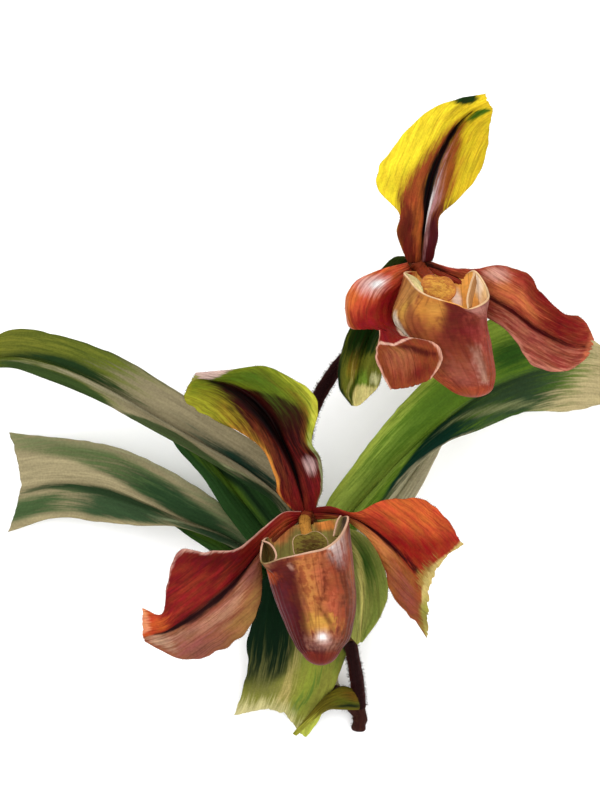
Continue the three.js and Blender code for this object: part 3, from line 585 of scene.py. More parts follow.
# Front bloom, measured from FRONT_BLOOM. Rings are (centre, half width, half depth).
FRONT = {
    "ovary_path": [(18, -50, -22), (13.5, -36, -17.5), (8, -18, -13), (2.5, -5.5, -7), (0, -0.5, 0.5)],
    "column_path": [(0, -1, 0), (0, -4, 7), (1, -8, 14), (2, -11.5, 18.5)],
    "shield": ((2, -12, 19), -0.3, 0.1),
    "rim": [(1, -15, 27), (8.5, -13, 25), (14.5, -8, 21), (17.5, -1, 13), (13.5, -1.5, 5), (7, -3, -1),
        (1, -3.5, -2), (-6, -5, -1), (-13, -8.5, 5), (-17, -10.5, 13), (-17.3, -19.2, 21),
        (-9, -17.3, 26)],
    "rings": [((2.5, -24.5, 12), 17, 14.5), ((5, -37, 13), 15.5, 14.5), ((6, -49, 15), 11.7, 11.5),
        ((6.2, -55.5, 17), 7.3, 7.2)],
    "toe": (6.2, -59.9, 18),
    "lip": [0.85, 1, 1, 0.7, 0.2, 0, 0, 0, 0.1, 0.8, 0.35, 0.5],
    "lobes": [
        ({
            "left": [(-17.2, -10, 14.5), (-14, -11.2, 18.5), (-12, -13.6, 21), (-11.2, -16.4, 22.5),
                (-12.4, -19, 23.5)],
            "mid": [(-17.4, -10.2, 12), (-14.8, -11.4, 15), (-13, -13.7, 17.5), (-12.2, -16.5, 19),
                (-13, -19, 20)],
            "right": [(-17.6, -10.5, 10), (-16, -12, 11.5), (-14.5, -14.2, 13.5), (-13.8, -16.8, 15),
                (-14.2, -19, 17)],
        }, -1),
        ({
            "left": [(14.4, 0, 12.5), (12.8, -2, 15), (12, -4.8, 17.5), (11.2, -8.4, 20.5)],
            "mid": [(14.6, -0.2, 10), (13.6, -2.3, 12), (12.9, -5, 14), (12, -8.6, 17)],
            "right": [(15, -0.5, 8), (14.6, -2.6, 9), (14, -5.2, 11), (13, -8.8, 14)],
        }, -1),
    ],
    "dorsal_sepal": {
        "arch": 0.8,
        "ruffle": 0.8,
        "left": [(-3.5, 0.5, 1), (-10.5, 8, 6), (-12, 15.5, 10), (-17, 26.5, 14), (-27, 33.5, 18),
            (-39, 39.5, 20), (-47, 45, 21), (-47.5, 50, 20), (-45.5, 53, 18)],
        "mid": [(0, 1, 0), (-2, 10, 4), (-5, 20, 7), (-9, 29.5, 9), (-14, 39, 11), (-21, 47, 13),
            (-29, 52, 15), (-37, 54, 17), (-45, 55, 18)],
        "right": [(4, 1.5, 1), (7, 11, 7), (6.5, 22.5, 12), (2.5, 30, 18), (5.5, 43, 22),
            (-1, 52.2, 25), (-15.5, 59.3, 25), (-30, 58, 22), (-43.5, 57, 18)],
    },
    "synsepal": {
        "arch": 0.6,
        "left": [(-1, -6, -7), (3, -20, -6), (8, -33, -6), (14.5, -44, -5.5), (21, -52, -5)],
        "mid": [(2.5, -3.5, -7), (13, -11, -5), (21, -20.5, -4), (23.5, -34, -4.5), (22, -51, -5)],
        "right": [(6, -1.5, -6), (24.5, -9, -1), (33, -26, 0), (31, -39, -1), (23, -51, -4.5)],
    },
    "left_petal": {
        "arch": 0.8,
        "ruffle": 1.4,
        "left": [(-3, -3, 0), (-10, -8.5, 3), (-17, -18, 7), (-17, -26, 14), (-19, -39, 18),
            (-27, -49.8, 19), (-39, -56, 19), (-50, -57.4, 16), (-64, -50.5, 13)],
        "mid": [(-2, -1, 0), (-8.5, -5, 4), (-16.5, -12.5, 8), (-24, -21.5, 12), (-31.5, -29, 14),
            (-40, -36, 15), (-48.5, -42, 15), (-56, -46.5, 14), (-65, -48.5, 13)],
        "right": [(-1.5, 1.5, 2), (-9, 1, 6), (-17, -5, 11), (-27, -13, 17), (-39, -14.5, 21),
            (-51, -14.5, 22), (-55, -27, 20), (-57, -39, 18), (-65, -37, 16)],
    },
    "right_petal": {
        "arch": 0.8,
        "ruffle": 1.4,
        "notch": (0.08, 0),
        "left": [(3, 3, 2), (10.5, 3.5, 7), (19.5, 1, 12), (29, 5, 18), (39, 7, 22), (49, 6, 24),
            (55, 0, 23), (60, -7, 20), (64, -11.5, 16)],
        "mid": [(3, 1, 0), (11, 1, 5), (19.5, -1, 9), (27.5, -6, 12), (35, -12, 14), (39.5, -17, 15),
            (43, -21.5, 15), (47, -26, 14), (49.5, -29.5, 13)],
        "right": [(4.5, -2, 0), (12.5, -1.6, 3), (19, -4, 8), (26.5, -11, 12), (31.4, -20.5, 14),
            (34, -30.4, 16), (38.5, -36.5, 17), (43.5, -42, 17), (49, -49, 16)],
    },
    "bract": {
        "left": [(16, -55.5, -26), (12.5, -47, -22), (9, -35.5, -18), (6.5, -25, -15), (7, -16.5, -14)],
        "mid": [(17.5, -55, -27), (17, -46, -27.5), (14, -34, -23.5), (10.5, -23.5, -18.5),
            (8, -15.5, -14)],
        "right": [(19.5, -54, -26), (22, -45, -22), (20, -32.5, -18), (15.5, -21, -14), (9, -15, -14)],
    },
}
# Rear bloom, measured from REAR_BLOOM. Rings are (centre, half width, half depth).
REAR = {
    "ovary_path": [(-27, -34, -20.5), (-19, -20.5, -17), (-11, -9, -12.5), (-3.5, -3, -7), (0, 0.5, 1)],
    "column_path": [(0, -1, -1), (3, -4.5, 8), (5.5, -7, 16), (7, -9, 19.5)],
    "shield": ((7, -9.5, 20), -0.35, -0.25),
    "rim": [(7, -14, 27), (14, -16, 27), (20, -17.8, 24), (27.5, -13, 17), (22.3, -2.8, 13),
        (16, -5, 5), (7, -3.5, 0), (0, -3, 0), (-6.4, -3.2, 8), (-4.8, -5.8, 17), (-2, -9.4, 23),
        (2, -12.2, 26)],
    "rings": [((7.8, -21, 13), 19, 13.5), ((11.5, -33, 13.5), 17, 13.5), ((17, -44, 15), 13, 11),
        ((20, -49.5, 17), 8.8, 7.5)],
    "toe": (21, -53, 18),
    "lip": [0.7, 0, 0.6, 1, 0.9, 0, 0, 0, 0.7, 0.7, 0.7, 0.7],
    "lobes": [
        ({
            "left": [(-6.2, -3.3, 9.5), (-2, -5.2, 14), (0.4, -7.8, 18), (0.6, -10.6, 23)],
            "mid": [(-6.3, -3.5, 9.3), (-3.1, -5.4, 15.8), (-0.5, -8.3, 20.8), (1, -11.2, 24.6)],
            "right": [(-6.4, -3.6, 9), (-4.4, -5.8, 16), (-1.8, -9, 22), (1.2, -11.8, 25.2)],
        }, 0),
        ({
            "left": [(22, -2.8, 13.5), (20.4, -6, 17.5), (19.2, -10, 21), (18.4, -14, 23.5),
                (18.8, -17.6, 24.5)],
            "mid": [(22.2, -3.1, 12), (21.5, -6.2, 14.5), (20.5, -10.1, 17.5), (19.6, -14.1, 20),
                (19.6, -17.3, 22)],
            "right": [(22.4, -3.4, 10), (22.6, -6.4, 11.5), (21.8, -10.2, 14), (20.8, -14.2, 16.5),
                (20.4, -17, 19)],
        }, -1),
    ],
    "dorsal_sepal": {
        "arch": 0.8,
        "ruffle": 0.8,
        "left": [(-5, 0.6, 4), (-9.4, 12, 10), (-8.6, 20.5, 13), (-17.2, 30.5, 16), (-16, 39.5, 18),
            (-7.2, 51.6, 17), (4, 62, 14), (16, 66.5, 11), (26.5, 68.5, 9)],
        "mid": [(0.5, 1, 2), (1.5, 11, 5), (2.5, 19, 7), (4, 28, 8), (7, 39, 8), (11, 47.5, 7),
            (15, 55, 6), (21, 61, 6), (27.5, 64.5, 8)],
        "right": [(5, 1.5, 4), (7, 10, 10), (8, 19.5, 13), (15.6, 26.4, 16), (23.4, 36, 17),
            (26.5, 46, 16), (27.5, 53.5, 13), (28.5, 59, 10), (29, 62.5, 9)],
    },
    "synsepal": {
        "arch": 0.6,
        "left": [(-3, -9, -8), (-8, -21, -7), (-14, -32.5, -5), (-15, -42, -3), (-17, -49, -2),
            (-24, -56, -4)],
        "mid": [(-5, -6.5, -8), (-13, -16, -9), (-20, -28, -9), (-24, -39, -8), (-25, -47.5, -6.5),
            (-25.5, -56.5, -5)],
        "right": [(-7, -4, -8), (-18.5, -13, -7), (-27.5, -24, -5), (-32, -37, -3), (-32.5, -48.5, -3),
            (-27.5, -56.3, -4)],
    },
    "left_petal": {
        "ruffle": 1,
        "left": [(-2.5, -4, -1), (-3.5, -8, 3), (-6, -13, 6), (-7.5, -19.5, 9), (-7.5, -24.5, 14),
            (-7, -27.5, 21), (-4, -29, 30), (5, -31, 35), (9, -37, 36), (4, -46, 33)],
        "mid": [(-3.5, -1.5, -1), (-9, -5, 7), (-16, -10.5, 15), (-19, -18.5, 19), (-18, -24, 22),
            (-14, -27, 26), (-10.5, -31.5, 30), (-6.5, -35, 30), (-4.5, -41, 28), (-3.5, -49, 29)],
        "right": [(-5, 1, 0), (-16, -2, 9), (-26.5, -7, 15), (-30, -16.5, 16), (-27.5, -25.5, 14),
            (-17.5, -24, 21), (-16.8, -30.5, 25), (-18, -35.5, 23), (-16.5, -41.5, 22), (-12, -50, 24)],
    },
    "right_petal": {
        "arch": 0.8,
        "ruffle": 1.4,
        "left": [(1, 2.5, 2), (12, -1, 6), (21, -1.5, 10), (32, -0.5, 14), (42, -3, 17),
            (48.5, -11.5, 17), (57, -19.5, 15), (65, -21.5, 12), (69.5, -29.5, 7)],
        "mid": [(1.5, 0, 0), (11, -3.2, 4), (19, -7.2, 6), (28, -13, 8), (37, -18, 10), (45, -24.5, 10),
            (53.5, -29.5, 9), (61.5, -33, 7), (69, -33, 5)],
        "right": [(3, -2.5, 0), (10, -5.6, 3), (17, -10, 4), (25, -20.2, 6), (33, -24.8, 10),
            (39, -32, 12), (45, -40.5, 12), (58, -42.5, 10), (67, -37, 6)],
    },
    "bract": {
        "left": [(-27.5, -31.5, -20.5), (-27, -20.5, -17), (-21.5, -9.5, -12), (-14.5, -0.5, -6),
            (-10.5, 3, -4), (-6.5, 3.5, -4)],
        "mid": [(-26, -33, -22), (-23, -24, -23.5), (-17, -14, -20), (-11, -5, -15), (-7.5, 0.5, -9),
            (-5.5, 3, -5)],
        "right": [(-24.5, -34, -20.5), (-17.5, -28, -21), (-10.5, -19, -17), (-6, -10, -13),
            (-4.5, -3, -9), (-4.5, 2.5, -5)],
    },
}

# ------------------------------------------------------------------ colours of the blades

LEAF_MARKS = {
    # Its grey-taupe base is a painted sheen over the middle of the leaf.
    "leaf_upper_left": ("#9a8e6d", [
        Mark("olive_end", "#57631f", beyond((-1, 0.62), (0.2, 0.6), (1, 0.56), soft=0.1)),
        Mark("yellow_end", "#7c7b2b", band((0.78, 0.7, 0.5), (0.88, 0.55, 0.6), (0.94, 0.6, 0.3),
            soft=0.35), 0.8),
        Mark("dark_base", "#223a1e", band((0.08, -0.8, 0.4), (0.22, -0.85, 0.42), (0.34, -1, 0.25),
            soft=0.14, fade=0.12)),
        Mark("pale_line", "#8f9269", band((0.14, -0.22, 0.05), (0.24, -0.46, 0.06), (0.3, -0.68, 0.06),
            (0.36, -0.92, 0.05), soft=0.08, fade=0.1)),
        Mark("green_left", "#2f451f", band((0.28, -0.98, 0.05), (0.34, -0.84, 0.22), (0.43, -0.7, 0.34),
            (0.5, -0.8, 0.26), (0.56, -0.98, 0.06), soft=0.1, fade=0.02), 0.9),
        Mark("green_left_end", "#35481f", band((0.58, -0.98, 0.08), (0.63, -0.84, 0.26),
            (0.7, -0.74, 0.34), (0.88, -0.74, 0.36), soft=0.1, fade=0.03)),
        Mark("blue_green", "#1f3a2c", band((0.14, 0.12, 0.18), (0.28, 0.18, 0.2), (0.37, 0.22, 0.14),
            soft=0.16, fade=0.12)),
        Mark("dark_wedge", "#203618", band((0.54, 0.1, 0.05), (0.62, 0.14, 0.13), (0.7, 0.2, 0.2),
            (0.78, 0.14, 0.15), (0.86, 0.08, 0.06), soft=0.14, fade=0.12)),
        # This pale stripe is a painted sheen along the midrib.
        Mark("pale_stripe", "#a39a7a", band((0.18, -0.24, 0.08), (0.3, -0.18, 0.15),
            (0.42, -0.12, 0.16), (0.52, -0.1, 0.17), (0.62, -0.22, 0.14), (0.78, -0.28, 0.1), soft=0.12,
            fade=0.14), 0.9),
        Mark("dark_margin", "#39401f", band((0.5, 1, 0.04), (0.7, 1, 0.04), soft=0.04), 0.8),
    ]),
    "leaf_lower_left": ("#a29570", [
        Mark("green_base", "#4a5e40", band((0, 0, 2), (0.28, 0, 2), soft=0.3, fade=0.2)),
        Mark("upper_band", "#2b4627", band((0.2, 0.28, 0.3), (0.35, 0.32, 0.32), (0.5, 0.38, 0.32),
            (0.62, 0.44, 0.28), (0.74, 0.54, 0.2), soft=0.14, fade=0.14)),
        Mark("upper_band_end", "#55683c", band((0.66, 0.62, 0.26), (0.78, 0.68, 0.24), (0.9, 0.76, 0.2),
            (0.97, 0.8, 0.14), soft=0.2, fade=0.16), 0.9),
        # Painted shadow of the leaf that lies over this one.
        Mark("front_leaf_shadow", "#2c422a", band((0.2, -0.65, 0.42), (0.42, -0.66, 0.36), soft=0.14, fade=0.1)),
        Mark("lower_band", "#374e30", band((0.45, -0.5, 0.4), (0.6, -0.46, 0.42), (0.72, -0.5, 0.42),
            (0.8, -0.5, 0.3), soft=0.16, fade=0.1)),
        Mark("lower_band_dark", "#25391f", band((0.5, -0.2, 0.12), (0.7, -0.18, 0.12),
            (0.95, -0.15, 0.05), soft=0.1, fade=0.12)),
        Mark("lower_band_end", "#465c36", band((0.84, -0.6, 0.26), (1, -0.58, 0.22), soft=0.16,
            fade=0.08)),
        Mark("slanted_streaks", "#8b9470", band((0.32, -0.02, 0.05), (0.4, -0.25, 0.08),
            (0.5, -0.58, 0.06), soft=0.12, fade=0.08), 0.8),
        Mark("pale_stripe", "#a99c76", band((0.28, -0.02, 0.02), (0.45, 0, 0.04), (0.6, 0.03, 0.07),
            (0.72, 0.1, 0.13), (0.85, 0.25, 0.26), (1, 0.3, 0.34), soft=0.1, fade=0.16)),
        Mark("tan_upper_margin", "#989370", band((0.34, 0.96, 0.12), (0.74, 1, 0.12), soft=0.12)),
        Mark("olive_upper_base", "#6d7850", band((0, 0.8, 0.4), (0.3, 0.8, 0.34), (0.42, 0.9, 0.2),
            soft=0.3, fade=0.1), 0.85),
        Mark("tan_lower_margin", "#a99c74", band((0.5, -1, 0.08), (1, -1, 0.14), soft=0.1)),
    ]),
    "leaf_shaded_left": ("#294a20", [
        Mark("light_wedge", "#55711c", band((0.3, 0.2, 0.06), (0.42, 0, 0.2), (0.52, -0.25, 0.2),
            (0.6, -0.5, 0.1), soft=0.2, fade=0.14), 0.75),
        Mark("dark_fold", "#0a1f0d", band((0.2, 0.5, 0.14), (0.4, 0.4, 0.1), (0.62, -0.2, 0.1),
            soft=0.14), 0.9),
    ]),
    "leaf_lowest_left": ("#2a4a1f", [
        Mark("light_patch", "#4c6d1d", band((0.45, -0.5, 0.14), (0.56, -0.6, 0.22), (0.68, -0.7, 0.1),
            soft=0.2, fade=0.12), 0.8),
        Mark("far_side", "#29481f", band((0.35, 0.5, 0.5), (0.8, 0.5, 0.5), soft=0.2), 0.7),
    ]),
    "leaf_upper_right": ("#638624", [
        Mark("bright_base", "#adc352", band((0, -0.3, 0.85), (0.28, -0.4, 0.65), soft=0.4, fade=0.2),
            0.9),
        Mark("yellow_margin", "#9fb044", band((0, -1, 0.2), (0.3, -1, 0.16), (0.6, -1, 0.12),
            soft=0.16)),
        Mark("deep_streak", "#4a6c1a", band((0.2, -0.3, 0.1), (0.45, -0.4, 0.2), (0.62, -0.4, 0.2),
            soft=0.2, fade=0.2), 0.7),
        Mark("light_streak", "#88a542", band((0.18, 0.2, 0.1), (0.3, 0.2, 0.08), (0.38, 0.08, 0.05),
            (0.48, -0.02, 0.04), soft=0.1), 0.9),
        # The next two marks are painted shade: the dark lower-right half of the keeled leaf, beyond its
        # midrib.
        Mark("shaded_fold", "#0c3022", band((0.18, 1, 0.14), (0.24, 0.88, 0.22), (0.3, 0.82, 0.3),
            (0.36, 0.72, 0.42), (0.4, 0.62, 0.5), (0.45, 0.56, 0.55), (0.56, 0.54, 0.52), soft=0.12,
            fade=0.1)),
        Mark("shaded_green_side", "#33492c", band((0.56, 0.5, 0.54), (0.66, 0.5, 0.54), (0.78, 0.38, 0.48),
            soft=0.12, fade=0.1)),
        Mark("pale_streak", "#83895a", band((0.48, 0.3, 0.04), (0.58, 0.55, 0.08), (0.7, 0.88, 0.08),
            soft=0.12, fade=0.1), 0.8),
        Mark("green_hollow", "#244a12", spot(0.675, -0.38, 0.05, 0.24, 0.7), 0.9),
        Mark("lime_hollow", "#8ba53a", spot(0.67, -0.82, 0.05, 0.2, 0.7), 0.8),
        Mark("tan_end", "#c0b080", beyond((-1, 0.8), (0, 0.82), (0.3, 0.81), (0.6, 0.76), (1, 0.72),
            soft=0.07)),
        Mark("taupe_margin", "#979070", band((0.19, 1.02, 0.06), (0.28, 1, 0.22), (0.38, 1, 0.16),
            (0.44, 1.02, 0.05), soft=0.07)),
    ]),
    "leaf_lowest_right": ("#cdc29e", [
        Mark("green_shade", "#93986e", band((0.5, -0.3, 0.4), (0.75, -0.2, 0.5), soft=0.3), 0.5),
    ]),
    "leaf_front": ("#8f903a", [
        Mark("green_base", "#3b601b", band((0, -0.2, 0.75), (0.42, -0.25, 0.65), soft=0.3)),
        Mark("dark_side", "#06200c", band((0, 0.75, 0.5), (0.3, 0.8, 0.5), (0.45, 0.7, 0.6),
            (0.58, 0.73, 0.54), (0.7, 0.9, 0.34), soft=0.2, fade=0.12), 1.0, 0.1),
        Mark("grey_olive", "#7a7740", band((0.64, 0.5, 0.3), (0.78, 0.6, 0.3), soft=0.3), 0.8),
        Mark("tan_streak", "#b9a763", band((0.58, 0.14, 0.04), (0.7, 0.15, 0.08), (0.9, 0.14, 0.12),
            soft=0.12)),
        Mark("lime_streak", "#909b36", band((0.5, -0.35, 0.12), (0.7, -0.35, 0.2), (0.9, -0.3, 0.12),
            soft=0.2)),
        Mark("green_streak", "#4f6c27", band((0.62, -0.5, 0.05), (0.78, -0.4, 0.07), (0.9, -0.2, 0.05),
            soft=0.16), 0.8, 0.6),
        Mark("pale_end", "#d0c68a", beyond((-1, 1.02), (0, 0.93), (0.4, 0.85), (1, 0.84), soft=0.1)),
        Mark("lime_lip", "#c3cc50", band((0.84, -1, 0.16), (1, -1, 0.3), soft=0.12)),
    ]),
    "scape_bract": ("#655b16", [
        Mark("green_flush", "#475512", spot(0.3, -0.2, 0.2, 0.5, 0.9), 0.8),
        Mark("dark_underside", "#141f08", band((0.12, -0.6, 0.12), (0.35, -0.55, 0.16),
            (0.5, -0.6, 0.08), soft=0.16)),
        Mark("brown_flush", "#6b4a12", spot(0.25, 0.25, 0.14, 0.4, 0.8), 0.8),
        Mark("dark_margin", "#2a2a0c", band((0, 1, 0.07), (0.8, 1, 0.1), soft=0.06), 0.9),
        Mark("lime_tip", "#a9a83c", beyond((-1, 0.7), (0, 0.8), (1, 0.92), soft=0.1), 0.9),
    ]),
}

BLOOM_MARKS = {
    "front_dorsal_sepal": ("#300908", [
        Mark("red_base", "#7a211a", band((0, 0, 2), (0.22, 0, 2), soft=0.3, fade=0.24)),
        Mark("brown_flank", "#72351a", band((0.26, -0.85, 0.3), (0.4, -0.85, 0.35), (0.5, -0.75, 0.3),
            soft=0.24, fade=0.2)),
        Mark("lime_left", "#7f7c1a", band((0.4, -1.1, 0.1), (0.48, -1.1, 0.28), (0.56, -1.1, 0.5),
            (0.66, -1.1, 0.68), (0.78, -1.1, 0.84), (1, -1.1, 0.94), soft=0.2)),
        Mark("golden_left", "#8f621e", band((0.36, -0.98, 0.1), (0.46, -0.92, 0.16), (0.56, -0.8, 0.16),
            (0.66, -0.6, 0.1), soft=0.16, fade=0.1), 0.8),
        Mark("lime_right", "#73801b", band((0.3, 1.1, 0.14), (0.36, 1.1, 0.24), (0.44, 1.1, 0.3),
            (0.52, 1.1, 0.44), (0.6, 1.1, 0.66), (0.7, 1.1, 1.0), (0.86, 1.1, 1.12), (1, 1.1, 1.1),
            soft=0.12, fade=0.03), 1.0, 0.12),
        Mark("lime_glow_left", "#aba92c", spot(0.72, -0.9, 0.14, 0.22, 0.9), 0.8),
        Mark("lime_glow_right", "#c3c23c", spot(0.52, 1.0, 0.14, 0.16, 0.8), 0.95),
        Mark("green_right", "#46671a", band((0.62, 0.4, 0.1), (0.72, 0.5, 0.25), (0.86, 0.4, 0.3),
            soft=0.24), 0.85, 0.12),
        Mark("green_tip", "#5c7414", band((0.84, -0.5, 0.3), (0.96, -0.4, 0.3), soft=0.24), 0.8),
        Mark("brown_streak_right", "#6a3d15", band((0.38, 0.75, 0.06), (0.5, 0.72, 0.06),
            (0.56, 0.7, 0.03), soft=0.1), 0.8),
        Mark("orange_fringe", "#cd8337", band((0.1, -1, 0.08), (0.22, -1, 0.16), (0.34, -1, 0.1),
            (0.42, -1, 0.04), soft=0.08)),
        Mark("pink_shine", "#cfa9a6", spot(0.235, 0.6, 0.04, 0.18, 0.8), 0.85, 0.15),
        Mark("grey_green_edge", "#8f9c6e", band((0.05, 1.02, 0.08), (0.25, 1.02, 0.12), soft=0.05)),
        Mark("black_midrib", "#050202", band((0.05, 0.02, 0.04), (0.2, 0, 0.12), (0.32, -0.06, 0.2),
            (0.45, -0.1, 0.21), (0.55, -0.12, 0.17), (0.7, -0.12, 0.1), (0.87, -0.14, 0.05), soft=0.1,
            fade=0.03), 1.0, 0.2),
        Mark("pale_lip", "#cfb0a4", beyond((-1, 1.1), (-0.15, 0.97), (0, 0.89), (1, 0.87), soft=0.02),
            1.0, 0.2),
        Mark("olive_rim", "#8d8a3c", beyond((-1, 0.955), (0.4, 0.965), (0.6, 1.1), (1, 1.2),
            soft=0.015), 0.9),
    ]),
    "rear_dorsal_sepal": ("#f2d229", [
        Mark("duller_right", "#d9ba22", band((0, 1, 1), (0.8, 1, 1), (1, 1, 0.3), soft=0.2), 0.8),
        Mark("bright_left", "#ffe532", spot(0.5, -0.75, 0.3, 0.4, 0.9), 0.9),
        Mark("brown_left", "#94451f", band((0, -0.5, 0.6), (0.24, -0.5, 0.58), (0.3, -0.35, 0.42),
            (0.42, -0.25, 0.24), (0.55, -0.18, 0.16), (0.7, -0.12, 0.1), (0.84, -0.08, 0.03),
            soft=0.16)),
        Mark("brown_right", "#964e1c", band((0, 0.5, 0.6), (0.26, 0.5, 0.55), (0.34, 0.3, 0.42),
            (0.5, 0.22, 0.26), (0.64, 0.16, 0.2), (0.8, 0.06, 0.08), soft=0.16, fade=0.03)),
        Mark("maroon_left", "#5c1812", band((0, -0.5, 0.6), (0.1, -0.6, 0.4), (0.22, -0.7, 0.24),
            (0.33, -0.5, 0.1), soft=0.24, fade=0.12), 0.9),
        Mark("maroon_right", "#50151a", band((0, 0.6, 0.6), (0.16, 0.6, 0.55), (0.3, 0.65, 0.3),
            soft=0.24, fade=0.12)),
        Mark("orange_flush", "#b25a28", band((0.08, -0.28, 0.1), (0.3, -0.28, 0.14), soft=0.16), 0.8),
        # The next two marks are a painted highlight: a pink streak with a white core beside the midrib.
        Mark("pink_highlight", "#bd8a8a", band((0.08, 0.16, 0.08), (0.2, 0.22, 0.18), (0.32, 0.22, 0.2),
            (0.42, 0.14, 0.1), (0.5, 0.08, 0.04), soft=0.16), 0.9),
        Mark("white_highlight", "#fff6f4", band((0.2, 0.12, 0.04), (0.29, 0.14, 0.1), (0.42, 0.08, 0.04),
            soft=0.05, fade=0.08), 1.0, 0.25),
        Mark("green_right_tip", "#40640f", band((0.8, 0.22, 0.08), (0.88, 0.33, 0.24), (0.95, 0.6, 0.2),
            soft=0.16, fade=0.03)),
        Mark("green_hood", "#1b360f", spot(0.9, -0.88, 0.055, 0.36, 0.35)),
        Mark("black_midrib", "#070507", band((0.05, -0.05, 0.03), (0.2, -0.05, 0.08),
            (0.4, -0.05, 0.11), (0.5, -0.05, 0.09), (0.6, -0.06, 0.07), (0.72, -0.04, 0.08),
            (0.88, -0.06, 0.04), soft=0.05, fade=0.02), 1.0, 0.2),
    ]),
    "front_left_petal": ("#82201a", [
        Mark("red_base", "#93281c", band((0, 0.2, 1.2), (0.25, 0.3, 0.8), soft=0.3), 0.8),
        Mark("orange_near_ear", "#c4582f", band((0.12, 0.12, 0.2), (0.28, 0.14, 0.24), soft=0.2,
            fade=0.05), 0.85),
        Mark("dark_maroon", "#560a08", spot(0.45, 0.5, 0.14, 0.6, 0.9)),
        Mark("red_glow", "#94291f", band((0.5, 0.25, 0.15), (0.65, 0.35, 0.25), (0.8, 0.35, 0.2),
            soft=0.3), 0.8),
        Mark("orange_tip", "#c04e26", beyond((-0.1, 0.9), (0, 0.84), (0.5, 0.85), (1, 0.9), soft=0.07)),
        Mark("lower_half", "#99583c", band((0.19, -0.6, 0.5), (0.3, -0.6, 0.55), (0.9, -0.62, 0.62),
            (1, -0.6, 0.5), soft=0.08, fade=0.04)),
        Mark("red_near_midrib", "#87402e", band((0.3, -0.16, 0.12), (0.5, -0.18, 0.1),
            (0.8, -0.16, 0.08), soft=0.16), 0.8),
        Mark("olive_margin", "#936a38", band((0.32, -1, 0.3), (0.5, -0.9, 0.3), (0.62, -0.85, 0.26),
            (0.72, -1, 0.1), soft=0.24), 0.85),
        Mark("pink_streak", "#c08d74", band((0.45, -0.34, 0.06), (0.6, -0.38, 0.12), (0.8, -0.3, 0.14),
            (0.93, -0.3, 0.12), soft=0.2), 0.6),
        Mark("mauve_end", "#8e5148", spot(0.78, -0.75, 0.12, 0.28, 0.9), 0.85),
        Mark("mauve_start", "#7d453d", spot(0.37, -0.4, 0.05, 0.4, 0.9), 0.7),
        Mark("tan_end", "#b9967a", spot(0.92, -0.4, 0.05, 0.3, 0.9), 0.7),
        Mark("black_midrib", "#240a0c", band((0.2, 0, 0.04), (0.38, -0.05, 0.1), (0.46, -0.07, 0.08),
            (0.6, -0.06, 0.07), (0.72, -0.06, 0.1), (0.82, -0.01, 0.07), (0.93, 0.03, 0.05), soft=0.06,
            fade=0.03), 1.0, 0.25),
        Mark("pale_edge", "#d7a291", band((0, 1, 0.05), (0.35, 1, 0.07), (0.7, 1, 0.04), soft=0.05),
            0.8),
        # Orange rolled edge of the tip, brightened by a painted highlight.
        Mark("orange_lip_highlight", "#ec9a6c", beyond((-1, 1.1), (0.05, 1.02), (0.2, 0.96), (0.6, 0.96),
            (1, 0.98), soft=0.02), 0.9),
    ]),
    "front_right_petal": ("#b23e25", [
        Mark("lower_half", "#9c5328", band((0, 0.7, 0.55), (0.3, 0.65, 0.55), (1, 0.65, 0.6),
            soft=0.08)),
        Mark("bright_orange", "#d2622f", band((0.36, -0.9, 0.2), (0.5, -0.8, 0.3), (0.68, -0.72, 0.26),
            (0.8, -0.75, 0.14), soft=0.3), 0.9),
        Mark("deep_red", "#8a1b10", band((0.42, -0.12, 0.1), (0.6, -0.16, 0.16), (0.75, -0.28, 0.28),
            (0.85, -0.5, 0.32), (0.92, -0.75, 0.25), soft=0.24), 0.95),
        Mark("red_base", "#761c17", band((0, -0.2, 1.2), (0.12, -0.4, 0.8), (0.3, 0, 0.3), soft=0.3,
            fade=0.2)),
        Mark("orange_low", "#cf8244", band((0.2, 0.8, 0.3), (0.36, 0.65, 0.3), (0.5, 0.5, 0.2),
            soft=0.3), 0.9),
        Mark("mauve_low", "#84433a", band((0.62, 0.6, 0.2), (0.75, 0.6, 0.3), (0.88, 0.8, 0.2),
            soft=0.3), 0.85),
        Mark("black_midrib", "#35090a", band((0.1, 0.02, 0.08), (0.3, 0.06, 0.1), (0.45, 0.08, 0.1),
            (0.56, 0.05, 0.08), (0.68, 0, 0.05), (0.82, -0.04, 0.03), soft=0.08, fade=0.03), 1.0, 0.3),
        Mark("cream_margin", "#cfb76e", beyond((-1, 0.95), (-0.7, 0.925), (-0.4, 0.875), (-0.15, 0.845),
            (0.15, 0.865), (0.35, 0.895), (0.7, 0.93), (1, 0.98), soft=0.018), 1.0, 0.14),
        Mark("red_bend", "#7d1f14", spot(0.84, 0.16, 0.035, 0.16, 0.8), 0.8),
        Mark("green_margin", "#94903a", spot(0.96, 0.6, 0.05, 0.3, 0.8), 0.9),
        Mark("tan_fringe", "#a07d3c", spot(0.85, -0.05, 0.035, 0.26, 0.8), 0.9, 0.5),
    ]),
    "rear_left_petal": ("#932019", [
        Mark("orange_base", "#cc5531", band((0, 0.3, 0.9), (0.15, 0.2, 0.6), (0.3, 0.6, 0.4),
            (0.42, 0.9, 0.1), soft=0.3, fade=0.14)),
        Mark("orange_margin", "#e07236", band((0.16, 1, 0.15), (0.28, 0.95, 0.28), (0.4, 1, 0.14),
            soft=0.16)),
        Mark("dark_bend", "#6d0f0e", band((0.45, 0, 0.6), (0.6, 0, 0.8), (0.68, 0.3, 0.7), soft=0.3),
            0.8),
        Mark("pink_shine", "#edc2bb", spot(0.2, 0.42, 0.05, 0.4, 0.9), 0.95, 0.12),
        Mark("white_shine", "#fffaf8", spot(0.195, 0.3, 0.025, 0.16, 0.8), 1.0, 0.1),
        Mark("brown_inner", "#7a1c15", band((0.2, -0.6, 0.2), (0.45, -0.6, 0.2), (0.65, -0.3, 0.3),
            soft=0.25), 0.7),
